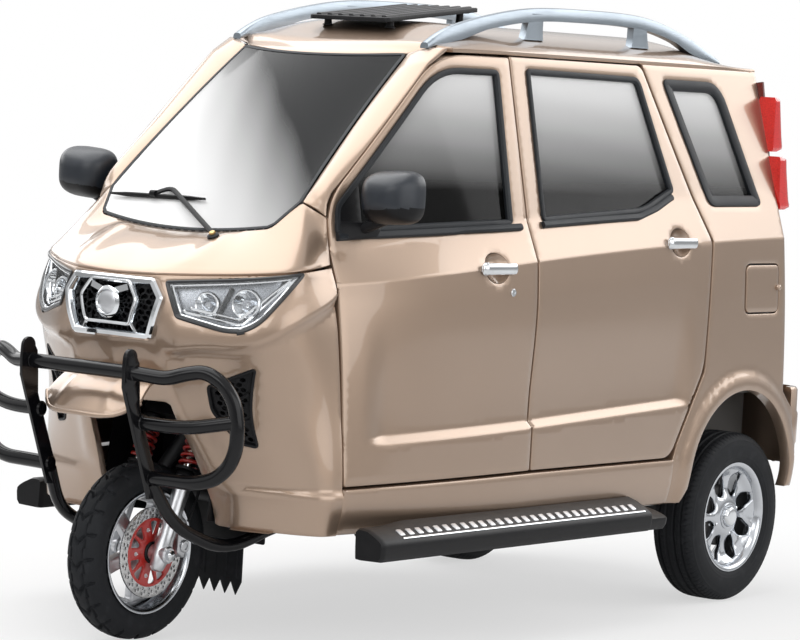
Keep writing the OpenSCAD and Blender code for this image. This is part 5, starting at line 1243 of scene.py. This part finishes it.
# %% Roof rails and roof panel
RAIL_X = 330.0
rail_top = spline([(-416, 1606), (-280, 1664), (25, 1720), (320, 1733), (641, 1727), (880, 1680),
    (1062, 1616)], np.linspace(0, 1, 70))

def roof_z(x, y):
    """Height of the roof skin."""
    return EAVE + 8 + roof_rise(y) * (1 - (np.abs(x) / roof_half(y)) ** 4)

def rail_section(y, high, low):
    """Rounded blade from low to high, a little thinner at the top."""
    x = np.array([-13, -14, -12, -9, -4, 4, 9, 12, 14, 13.0])
    t = np.array([0, 0.3, 0.75, 0.94, 1, 1, 0.94, 0.75, 0.3, 0])
    return np.stack([RAIL_X + x, np.full(10, y), low + (high - low) * t], 1)

rail_y = np.unique(np.concatenate([rail_top[1:-1, 0], np.linspace(-410, -60, 50),
    np.linspace(760, 1056, 40)]))
high_line = np.interp(rail_y, rail_top[:, 0], rail_top[:, 1])
skin_line = roof_z(RAIL_X, rail_y) - 3
ends = ease((rail_y + 262) / 130) * ease((915 - rail_y) / 110)
low_line = np.minimum(skin_line + np.maximum(high_line - 38 - skin_line, 0) * ends ** 0.6, high_line - 4)
rail = loft([rail_section(y, h, l) for y, h, l in zip(rail_y, high_line, low_line)], RAIL)
legs = []
for y, lean in ((83.0, 8), (622.0, -6)):
    foot = float(roof_z(RAIL_X, np.array([y]))[0]) - 2
    ring = np.array([(-11, -1), (-13, -0.7), (-13, 0.7), (-11, 1), (11, 1), (13, 0.7), (13, -0.7),
        (11, -1.0)])
    legs.append(loft([np.column_stack([RAIL_X + ring[:, 0], y + lean * t + ring[:, 1] * w,
        np.full(8, foot + 74 * t)]) for t, w in ((0, 47), (0.05, 44), (0.4, 38), (1, 33))], RAIL))
make("roof_rail_blades", "chassis", both([rail] + legs), ["roof_rails"])

tilt = 0.115
slab = lambda x, y: np.stack([x, y, 1672 + (y + 330) * tilt], -1)
plate = panel(outline([(-140, -330, 14), (140, -330, 14), (140, 90, 14), (-140, 90, 14)]), slab, TRIM, (),
    (), 30, 3.0, 12.0, (0, 0, -1.0))
ribs = [sweep(slab(np.full(24, x), np.linspace(-316, 76, 24)) + [0, 0, 1], [(-1, -9), (3, -7), (3.5, 0),
    (3, 7), (-1, 9)], FRAME) for x in np.linspace(-115, 115, 7)]
feet = []
for x in (-110, 110):
    for t in (0.12, 0.88):
        y = -330 + 420 * t
        low, high = float(roof_z(np.array([110.0]), np.array([y]))[0]), 1662 + (y + 330) * tilt
        feet.append(turned([(0, 15), (3, 15), (5, 11), (high - low, 10)], (x, y, low), (0, 0, 1), TRIM, 24))
        feet.append(sweep(np.array([(x, y - 26, high - 2), (x, y, high - 1), (x, y + 26, high + 1)]),
            [(-3, -14), (3, -14), (3, 14), (-3, 14)], TRIM))
make("roof_panel_ribbed", "chassis", [plate] + ribs + feet, ["roof_hatch"])

# %% [markdown]
# Each tail lamp has two red lobes that swell towards their feet, on a dark strip that follows the rear
# corner.

# %% Tail lamps, bumper and rear guard
def lobe(x0, width, z0, z1, foot, head, mat):
    """Loft of half-round sections up the corner: as deep as foot at the bottom and head at the top."""
    t = np.linspace(0, 1, 22)
    a = np.linspace(0, np.pi, 22)
    dome = lambda k: (1 - (1 - np.clip(k, 0, 1)) ** 2) ** 0.5
    round_off = dome(t / 0.10) * dome((1 - t) / 0.07)
    z = z0 + (z1 - z0) * t
    cx = x0 + width / 2
    base = back(np.full_like(z, -cx), z)[:, 1] - 4
    depth = (foot + (head - foot) * t) * (0.55 + 0.45 * round_off) + 4
    side_x, side_y = np.sign(np.cos(a)) * np.abs(np.cos(a)) ** 0.5, np.abs(np.sin(a)) ** 0.5
    half = width / 2 * (0.82 + 0.18 * round_off)
    V = np.stack([cx + half[:, None] * side_x, base[:, None] + depth[:, None] * side_y,
        np.broadcast_to(z[:, None], (22, 22))], -1)
    return loft(V, mat)

strip_z = np.linspace(1186, 1556, 40)
strip_x = np.interp(strip_z, [1186, 1380, 1556], [452, 430, 402])
base_path = np.stack([strip_x, back(-strip_x, strip_z)[:, 1] + 4, strip_z], 1)
base_strip = sweep(base_path, [(-6, -32), (6, -30), (9, -20), (9, 20), (6, 30), (-6, 32)], DARK_RED,
    (0, 1, 0))
lamps = [lobe(428, 60, 1352, 1516, 68, 32, RED), lobe(454, 64, 1178, 1338, 72, 44, RED), base_strip]
make("tail_lamp_units", "chassis", both(lamps), ["tail_lamps"])

corner = np.radians(np.linspace(0, 90, 12))
quarter_turn = np.stack([500 + 56 * np.cos(corner), 1268 + 60 * np.sin(corner)], 1)
plan = np.vstack([[(555, 1250)], quarter_turn, quarter_turn[::-1] * [-1, 1], [(-555, 1250)]])
bumper_section = [(402, -24), (402, -5), (410, 0), (462, 1), (470, 4), (556, 4), (566, 0), (630, -1),
    (638, -6), (640, -24)]
bumper = sweep(np.column_stack([plan, np.zeros(len(plan))]), bumper_section, PAINT)
make("rear_bumper_skin", "chassis", [bumper], ["rear_bumper"])

guard = [tube([(-452, 1340, z), (-440, 1372, z), (440, 1372, z), (452, 1340, z)], 25, BAR, 30, 16)
    for z in (600, 408)]
posts = both([tube([(300, 1372, 408), (300, 1372, 600)], 24, BAR, n=16),
    tube([(300, 1326, 520), (300, 1372, 520)], 24, BAR, n=16)])
make("rear_guard_tubes", "chassis", guard + posts, ["rear_guard"])
print("rear done")

# %% [markdown]
# Door handles are bright pulls over an oval scoop in the door skin. The scoop is the bottom of a hole that
# the door panel was cut with. A small lock sits under the front handle.

# %% Handles and locks
def scoop(c):
    """Shallow bowl behind a handle."""
    def surf(y, z):
        r = np.clip(np.hypot((y - c[0]) / 50, (z - c[1]) / 40), 0, 1)
        return side(y, z) - np.stack([1 + 17 * (1 - r ** 2.5), 0 * y, 0 * y], -1)
    return panel(scoop_edge(c), surf, PAINT, (), (), 7, 0.0, 2.0, INWARD)

def pull(c):
    """Bar along the door: thick at its front end, bowed over the scoop, with both ends turned in."""
    t = np.linspace(0, 1, 36)
    y = c[0] - 74 + 148 * t
    out = 3 + 8.5 * ease(t / 0.10) * ease((1 - t) / 0.10)
    path = side(y, np.full_like(y, c[1])) + np.stack([out, 0 * y, 0 * y], -1)
    section = circle(1.0, 18) * [16, 6.4]
    size = 0.55 + 0.45 * ease(t / 0.06) * ease((1 - t) / 0.06) * (1 - 0.12 * ease((t - 0.2) / 0.5))
    bar = sweep(path, section, CHROME, scale=size)
    cap_y = c[0] - 74 + np.linspace(0, 30, 8)
    cap = sweep(side(cap_y, np.full(8, c[1])) + [6, 0, 0], circle(1.0, 18) * [18, 7], CHROME,
        scale=[0.6, 0.86, 0.97, 1, 1, 0.99, 0.94, 0.8])
    return [bar, cap]

for tail, body, turn in (("left", "l", lambda q: q), ("right", "r", flipped)):
    for where, c in (("front", FRONT_PULL), ("rear", REAR_PULL)):
        name = "door_" + where[0] + body
        make(f"{where}_door_scoop_{tail}", name, [turn(scoop(c))])
        make(f"{where}_door_pull_{tail}", name, [turn(p) for p in pull(c)], [f"handle_{where}_{tail}"])
    at = side(np.array([-237.0]), np.array([947.0]))[0]
    key = turned([(-2, 11), (3, 11), (4.5, 9.5), (4.5, 6), (3, 5.5), (3, 0.2)], at, (1, 0, 0), CHROME, 32)
    make("front_door_lock_" + tail, "door_f" + body, [turn(key)])

# %% [markdown]
# A mirror housing is a rounded shell, deep in front and flat behind where the glass sits. Its upper part is
# a bluish dark grey, a painted sheen on the black housing, and its lower third is plain black.

# %% Mirrors
MIRROR = np.array([533.0, -766, 1199])

def rounded(a, power):
    """Rounded rectangle on a unit square: a superellipse."""
    c, s = np.cos(a), np.sin(a)
    return np.sign(c) * np.abs(c) ** (2 / power), np.sign(s) * np.abs(s) ** (2 / power)

a = np.linspace(0, 2 * np.pi, 72, endpoint=False)
cx, cz = rounded(a, 3.6)
rows = [(s, -76 * (1 - s ** 2.6) ** 0.55 - 4) for s in np.sin(np.linspace(0.02, 1, 22) * np.pi / 2)]
rows += [(1.0, 4), (1.0, 14), (0.985, 19), (0.95, 21), (0.93, 20), (0.92, 14)]
shell = []
for s, depth in rows:
    wide = 1 - 0.10 * np.clip(-cz, 0, 1) * (cx < 0)
    shell.append(np.stack([MIRROR[0] + 87 * s * cx * wide, np.full(72, MIRROR[1] + depth),
        MIRROR[2] + 70 * s * cz + 5 * s * cx], 1))
shell = np.array(shell).reshape(-1, 3)
faces = quads(len(rows), 72, False, True)
mid_z = shell[faces].mean(1)
# Faces below this line are plain black; the ones above get the lighter painted sheen.
low = mid_z[:, 2] < MIRROR[2] - 30 + 0.10 * (mid_z[:, 0] - MIRROR[0])
housing = [(shell, faces[~low], SHEEN_PAINTED_SHELL), (shell, faces[low], TRIM)]
nose_cap = (shell[:72], np.arange(72)[None, ::-1], SHEEN_PAINTED_SHELL)
glass_loop = np.stack([80 * cx, 63 * cz], 1)
glass_face = lambda p, q: np.stack([MIRROR[0] - p, np.full_like(p, MIRROR[1] + 15), MIRROR[2] + q], -1)
glass = panel(anticlockwise(glass_loop), glass_face, CHROME, (), (), 20, 1.0, 4.0, (0, -1.0, 0))
wedge = outline([(-848, 1076, 6), (-742, 1090, 8), (-724, 1112, 10), (-740, 1131, 6), (-848, 1129, 6)])
wedge_face = lambda y, z: side(y, z) + np.stack([4 + 34 * ease((y + 850) / 110), 0 * y, 0 * y], -1)
foot = panel(wedge, wedge_face, TRIM, (), (), 10, 6.0, 8.0, INWARD)
root = side_x(np.array([-770.0]), np.array([1112.0]))[0] + 22
neck = tube([(root, -772, 1112), (478, -770, 1128), (520, -766, 1146)], 30, TRIM, 20, 16)
for tail, body, turn in (("left", "l", lambda q: q), ("right", "r", flipped)):
    make("mirror_unit_" + tail, "door_f" + body, [turn(p) for p in housing + [nose_cap, glass, foot, neck]],
        ["mirror_" + tail])

# %% [markdown]
# Small things: the wiper with its brass nut, the fuel flap in its pocket with a knob, and the saw-toothed
# mud flap.

# %% Wiper, fuel flap and mud flap
tip_a, tip_b = np.array([-300.0, -936, 1156]), np.array([36.0, -938, 1162])
t = np.linspace(0, 1, 20)
blade_path = tip_a + (tip_b - tip_a) * t[:, None]
blade = sweep(blade_path, [(-8, -2), (-5, -5), (2, -5), (6, -2), (6, 2), (2, 5), (-5, 5), (-8, 2)], TRIM,
    (0, -0.7, 0.7), scale=0.5 + 0.5 * ease(np.minimum(t, 1 - t) / 0.2))
elbow, grip = np.array([-100.0, -918, 1184]), tip_a + (tip_b - tip_a) * 0.47 + [0, -4, 6]
arm = sweep(filleted([(160, -1042, 1078), elbow, grip], 40), [(-3, -7), (2, -6), (4, 0), (2, 6), (-3, 7)],
    TRIM, (0, -0.7, 0.7))
pivot = turned([(-10, 17), (6, 16), (9, 12), (10, 9)], (160, -1042, 1070), (0, -0.45, 0.9), TRIM, 32)
nut = turned([(8, 9), (15, 9), (17, 7), (18, 3), (18.2, 0.2)], (160, -1042, 1070), (0, -0.45, 0.9), BRASS, 6)
clip = turned([(-9, 8), (-9, 9), (9, 9), (9, 8)], grip, tip_b - tip_a, TRIM, 20, True)
make("wiper_arm_and_blade", "chassis", [blade, arm, pivot, nut, clip], ["wiper"])

lid = panel(FLAP, quarter, PAINT, (), (), 12, 4.0, 7.0, INWARD, 1.5)
at = quarter(np.array([1126.0]), np.array([946.0]))[0] + [1, 0, 0]
knob = turned([(0, 9), (6, 9), (9, 7), (10.5, 3.5), (11, 0.2)], at, (1, 0.1, 0), PAINT, 24)
make("fuel_flap_lid", "filler_lid", [lid, knob], ["fuel_flap"])
pocket = panel(inset(anticlockwise(resampled(FLAP, 10)), -4.0), quarter, HOUSING, (), (), 20, 0.0, 22.0,
    INWARD, -18.0)
make("fuel_flap_pocket", "chassis", [pocket])

tooth_x = np.linspace(-112, 112, 13)
tooth_z = np.where(np.arange(13) % 2, 104.0, 140.0)
flap_edge = np.vstack([np.stack([tooth_x, tooth_z], 1), [(112, 400), (-112, 400)]])
sheet = panel(flap_edge, lambda x, z: np.stack([x, np.full_like(x, -795.0), z], -1), RUBBER, (), (), 14,
    1.2, 4.5, (0, 1.0, 0))
beads = [sweep(np.stack([np.full(20, x), np.full(20, -795.5), np.linspace(150, 390, 20)], 1),
    [(-1, -5), (1.5, -3), (1.5, 3), (-1, 5)], RUBBER, (0, -1, 0)) for x in np.linspace(-93, 93, 6)]
make("mud_flap_sheet", "chassis", [sheet] + beads, ["mud_flap"])
print("small parts done")

# %% [markdown]
# Inside: a dashboard with two gauges, handlebars with rubber grips, and padded seats. Each pad starts as a
# rounded block a little too small. Cloth with some pressure inside swells it, as foam does under a tight
# cover, and the sewn channels are pressed in afterwards.

# %% Padded seats
LEATHER = moulded("seat_leather", (0.022, 0.021, 0.021), 0.45, 420.0, 0.35)
CARD = moulded("door_card", (0.10, 0.088, 0.075), 0.6, 500.0, 0.3)

def block(half_w, foot, head, thick, n=40):
    """Rounded block between two lines across the vehicle: foot and head are (y, z) of the mid-plane."""
    f, h = np.array(foot, float), np.array(head, float)
    along = unit(h - f)
    across = np.array([-along[1], along[0]])
    a = np.linspace(0, 2 * np.pi, 48, endpoint=False)
    u, v = rounded(a, 6.0)
    mid, half = (f + h) / 2, np.linalg.norm(h - f) / 2
    rows = []
    for t in np.linspace(-1, 1, n):
        k = (1 - np.abs(t) ** 10) ** 0.1 * 0.5 + 0.5
        yz = mid + np.outer(u * (half - 14 * (1 - k)), along) + np.outer(v * thick / 2 * k, across)
        rows.append(np.column_stack([np.full(48, half_w * t), yz]))
    return loft(rows, LEATHER), np.array([0, *across]), np.array([0, *mid])

def swollen(ob, cap):
    """Voxel remesh, then 20 frames of Cloth with pressure; no point moves further than cap."""
    grid = ob.modifiers.new("grid", "REMESH")
    grid.mode, grid.voxel_size = "VOXEL", 6.0 * MM
    me = bpy.data.meshes.new_from_object(ob.evaluated_get(bpy.context.evaluated_depsgraph_get()))
    ob.modifiers.clear()
    ob.data = me
    rest = np.empty(len(me.vertices) * 3)
    me.vertices.foreach_get("co", rest)
    rest = rest.reshape(-1, 3)
    cloth = ob.modifiers.new("foam", "CLOTH")
    cloth.settings.use_pressure = True
    cloth.settings.uniform_pressure_force = 4.0
    cloth.settings.effector_weights.gravity = 0.0
    cloth.collision_settings.use_collision = False
    for frame_no in range(1, 21):
        scene.frame_set(frame_no)
    done = ob.evaluated_get(bpy.context.evaluated_depsgraph_get()).data
    co = np.empty(len(done.vertices) * 3)
    done.vertices.foreach_get("co", co)
    ob.modifiers.clear()
    scene.frame_set(1)
    move = co.reshape(-1, 3) - rest
    far = np.linalg.norm(move, axis=1, keepdims=True)
    return rest + move * np.minimum(1, cap * MM / np.maximum(far, 1e-9))

def pad(name, half_w, foot, head, thick, channels, node=None, side_sign=1):
    """One seat pad: swollen, then pressed in along its sewn channels."""
    part, out, mid = block(half_w, foot, head, thick)
    ob = make(name, "chassis", [part], [node] if node else (), 60)
    co = swollen(ob, 10.0)
    level = (co / MM - mid) @ out * side_sign
    face = ease((level - thick * 0.2) / (thick * 0.2))
    lines = np.min(np.abs(co[:, :1] / MM - np.asarray(channels, float)), 1)
    press = 7 * np.exp(-(lines / 7) ** 2) * face
    co = co - np.outer(press * MM * side_sign, out)
    ob.data.vertices.foreach_set("co", co.ravel())
    if not ob.data.materials:
        ob.data.materials.append(LEATHER)
    ob.data.shade_smooth()
    ob.data.update()

seams = np.linspace(-150, 150, 5)
pad("driver_cushion", 228, (-312, 686), (92, 690), 84, seams, "driver_seat")
pad("driver_backrest", 222, (146, 700), (224, 1222), 80, seams)
bench_seams = np.linspace(-360, 360, 9)
pad("bench_cushion", 436, (556, 678), (936, 682), 78, bench_seams, "passenger_bench")
pad("bench_backrest", 430, (988, 700), (1060, 1184), 76, bench_seams)

def pedestal(half, y0, y1, z0, z1):
    """Painted box under a seat, with rounded corners and a recessed front panel."""
    plan = outline([(-half, y0, 24), (half, y0, 24), (half, y1, 24), (-half, y1, 24)])
    mid = np.array([0, (y0 + y1) / 2])
    levels = ((1, z0), (1, z1 - 6), (0.998, z1 - 2), (0.99, z1))
    rows = [np.column_stack([mid + (plan * k - mid * k), np.full(len(plan), z)]) for k, z in levels]
    lid = panel(outline([(-half + 50, z0 + 40, 12), (half - 50, z0 + 40, 12), (half - 50, z1 - 30, 12),
        (-half + 50, z1 - 30, 12)]), lambda x, z: np.stack([x, np.full_like(x, y0 - 2.0), z], -1), TRIM, (),
        (), 40, 2.0, 4.0, (0, 1.0, 0))
    return [loft(rows, FLOOR), lid]

make("driver_pedestal", "chassis", pedestal(218, -268, 184, 405, 641))
make("bench_pedestal", "chassis", pedestal(366, 582, 958, 405, 636))
print("seats done")

# %% Dashboard and handlebars
dash = np.array([(-146, 32), (-146, 70), (-139, 116), (-122, 132), (-92, 140), (-66, 128), (-50, 108),
    (-45, 60), (-42, 22), (-50, 8), (-62, 1), (-100, 12.0)])
rows = []
for t in np.linspace(-1, 1, 50):
    k = 0.86 + 0.14 * (1 - np.abs(t) ** 12)
    bulge = 10 * np.exp(-(t / 0.28) ** 4)
    yz = (dash - [-95, 70]) * k + [-95, 70] + np.stack([0 * dash[:, 0], bulge * (dash[:, 1] > 100)], 1)
    rows.append(np.column_stack([np.full(len(dash), 348.0 * t), yz + [-790, 900]]))
cowl = loft(rows, TRIM)
gauges = []
for x, radius in ((-52, 34), (52, 34)):
    at = np.array([x, -836.0, 990])
    gauges += [turned([(-4, radius + 4), (4, radius + 4), (6, radius + 1), (3, radius - 2)], at,
        (0, 1, 0.25), CHROME), turned([(3, radius - 1), (3.5, 0.2)], at, (0, 1, 0.25), HOUSING)]
wall_edge = outline([(72, 406, 6), (348, 406, 6), (348, 932, 30), (72, 932, 6)])
wall_face = lambda x, z: np.stack([-x, np.full_like(x, -782.0), z], -1)
wall = panel(wall_edge, wall_face, CARD, (), (), 40, 3.0, 7.0, (0, -1.0, 0))
make("dashboard_unit", "chassis", [cowl] + gauges + both([wall]), ["dashboard"])

top = on_fork(0, 0, 860)
arm = [top + [0, 6, 22], top + [90, 6, 60], top + [190, 40, 72], top + [318, 110, 62]]
grip_axis = unit(np.array(arm[3]) - np.array(arm[2]))
ring_h = np.arange(0, 106, 7.0)
rings = np.column_stack([np.repeat(ring_h, 2), np.tile([16.5, 14.8], len(ring_h))])
rings[1::2, 0] += 3.5
grip = np.vstack([[(0, 12)], rings, [(112, 15), (112, 0.2)]])
lever = tube([top + [178, 26, 60], top + [210, 2, 56], top + [300, 62, 50]], 9, SATIN, 12, 12)
pod = turned([(0, 12), (0, 20), (26, 21), (30, 18), (30, 12)], np.array(arm[2]) - grip_axis * 14, grip_axis,
    TRIM, 32)
bar = both([tube(arm, 22, SATIN, 40, 16), turned(grip, np.array(arm[3]) - grip_axis * 110, grip_axis,
    RUBBER, 32), lever, pod])
clamp = turned([(0.6, 6), (0.6, 24), (30, 24), (34, 20), (34, 0.2)], top, on_fork(0, 0, 1) - on_fork(0, 0,
    0), IRON, 40)
make("handlebar_unit", "steering", bar + [clamp], ["handlebar"])

# %% [markdown]
# Door cards line the inside of the doors. The parts that stay as they come from the CAD model, deep under
# the body, get their finish here.

# %% Door cards and remaining finishes
for where, edge in (("front", FRONT_DOOR), ("rear", REAR_DOOR)):
    loop = inset(anticlockwise(resampled(edge, 30)), 64)
    loop = loop[loop[:, 1] < 1040]
    card = panel(loop, side, CARD, (), along_side(ledge_z, loop[:, 0].min() + 30, loop[:, 0].max() - 60,
        (0, 24)), 40, 0.0, 42.0, INWARD, -36.5)
    make(f"{where}_door_card_left", f"door_{where[0]}l", [card])
    make(f"{where}_door_card_right", f"door_{where[0]}r", [flipped(card)])

finish_of = {"chassis_frame": FRAME, "floor_pan": FLOOR, "b_posts": PAINT, "rear_axle": IRON,
    "engine": IRON, "leaf_springs": SPRING}
for name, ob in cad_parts.items():
    if not ob.hide_render:
        mat = finish_of.get(name, FRAME)
        if not ob.material_slots:
            ob.data.materials.append(mat)
        for slot in ob.material_slots:
            slot.material = mat
        print("kept", name, mat.name)

# %% [markdown]
# A pale floor and soft lamps overhead and at the sides. The background is white only where the camera or a
# reflection looks at it, so the vehicle itself is lit at a plain level.

# %% Floor and light
def seen_rays(tree, mirror=1.0):
    """1 for rays from the camera or through a pane, mirror for reflections, 0 for lighting rays."""
    rays = tree.nodes.new("ShaderNodeLightPath")
    total = rays.outputs["Is Camera Ray"]
    for key, weight in (("Is Glossy Ray", mirror), ("Is Transmission Ray", 1.0)):
        n = tree.nodes.new("ShaderNodeMath")
        n.operation = "MULTIPLY_ADD"
        tree.links.new(rays.outputs[key], n.inputs[0])
        n.inputs[1].default_value = weight
        tree.links.new(total, n.inputs[2])
        n.use_clamp = True
        total = n.outputs[0]
    return total

def pale_stage(name, color):
    """Matt floor that takes the vehicle's shadow near it and fades into the white background further off."""
    f = Finish(name, color, 0.9, Specular_IOR_Level=0.0)
    f.set(Base_Color=f.mix(f.noise(0.7, 2.0) * 0.2, color, tuple(c * 0.98 for c in color)))
    x, y, _ = f.axes()
    far = (((x * x + y * y) ** 0.5).ramp(1.6, 3.0) * 0.4 + 0.6) * Val(f, seen_rays(f.tree, 0.3))
    glow = f.node("Emission", {}, (1.0, 1.0, 1.0, 1.0), 1.0)
    blend = f.node("MixShader", {}, far, Val(f, f.shader.outputs[0]), glow)
    f.link(f.tree.nodes["Material Output"].inputs[0], blend)
    return f.mat

ring = np.linspace(0, 2 * np.pi, 64, endpoint=False)
reach = np.array([0.0, 2500, 6000, 20000, 60000])
disc = np.stack([reach[:, None] * np.cos(ring), reach[:, None] * np.sin(ring), np.zeros((5, 64))], -1)
mesh = bpy.data.meshes.new("studio_floor")
mesh.from_pydata((disc.reshape(-1, 3) * MM).tolist(), [], quads(5, 64, False, True).tolist())
mesh.materials.append(pale_stage("studio_floor_white", (0.86, 0.86, 0.86)))
floor = bpy.data.objects.new("studio_floor", mesh)
scene.collection.objects.link(floor)

def soft_lamp(name, place, target, size, watts):
    """Rectangular lamp aimed at a point."""
    data = bpy.data.lights.new(name, "AREA")
    data.shape = "RECTANGLE"
    data.size, data.size_y = size
    data.energy = watts
    lamp = bpy.data.objects.new(name, data)
    lamp.location = place
    lamp.rotation_euler = (Vector(target) - Vector(place)).to_track_quat("-Z", "Y").to_euler()
    scene.collection.objects.link(lamp)

soft_lamp("overhead_softbox", (-1.0, -0.9, 4.6), (0, 0, 0.8), (7.0, 4.4), 230)
soft_lamp("rear_softbox", (3.0, 6.5, 4.6), (0, 0, 1.0), (8.0, 4.2), 250)
soft_lamp("left_softbox", (7.0, -1.5, 2.6), (0, 0, 1.0), (8.0, 4.0), 150)
soft_lamp("front_softbox", (1.0, -6.5, 3.4), (0, 0, 0.8), (4.0, 2.0), 60)
soft_lamp("right_softbox", (-6.0, 0.5, 3.0), (0, 0, 0.8), (5.0, 2.0), 60)

world = bpy.data.worlds.new("studio_air")
scene.world = world
world.use_nodes = True
tree = world.node_tree
sky = tree.nodes["Background"]
sky.inputs["Color"].default_value = (1, 1, 1, 1)
way = tree.nodes.new("ShaderNodeSeparateXYZ")
tree.links.new(tree.nodes.new("ShaderNodeTexCoord").outputs["Generated"], way.inputs[0])
height = tree.nodes.new("ShaderNodeMapRange")
tree.links.new(way.outputs[2], height.inputs["Value"])
for key, value in (("From Min", 0.04), ("From Max", 0.34), ("To Min", 0.40), ("To Max", 1.0)):
    height.inputs[key].default_value = value
rays = tree.nodes.new("ShaderNodeLightPath")
mirrored = tree.nodes.new("ShaderNodeMix")
tree.links.new(rays.outputs["Is Glossy Ray"], mirrored.inputs["Factor"])
mirrored.inputs[2].default_value = 1.0
tree.links.new(height.outputs["Result"], mirrored.inputs[3])
level = tree.nodes.new("ShaderNodeMix")
tree.links.new(seen_rays(tree), level.inputs["Factor"])
level.inputs[2].default_value = 0.30
tree.links.new(mirrored.outputs[0], level.inputs[3])
tree.links.new(level.outputs[0], sky.inputs["Strength"])
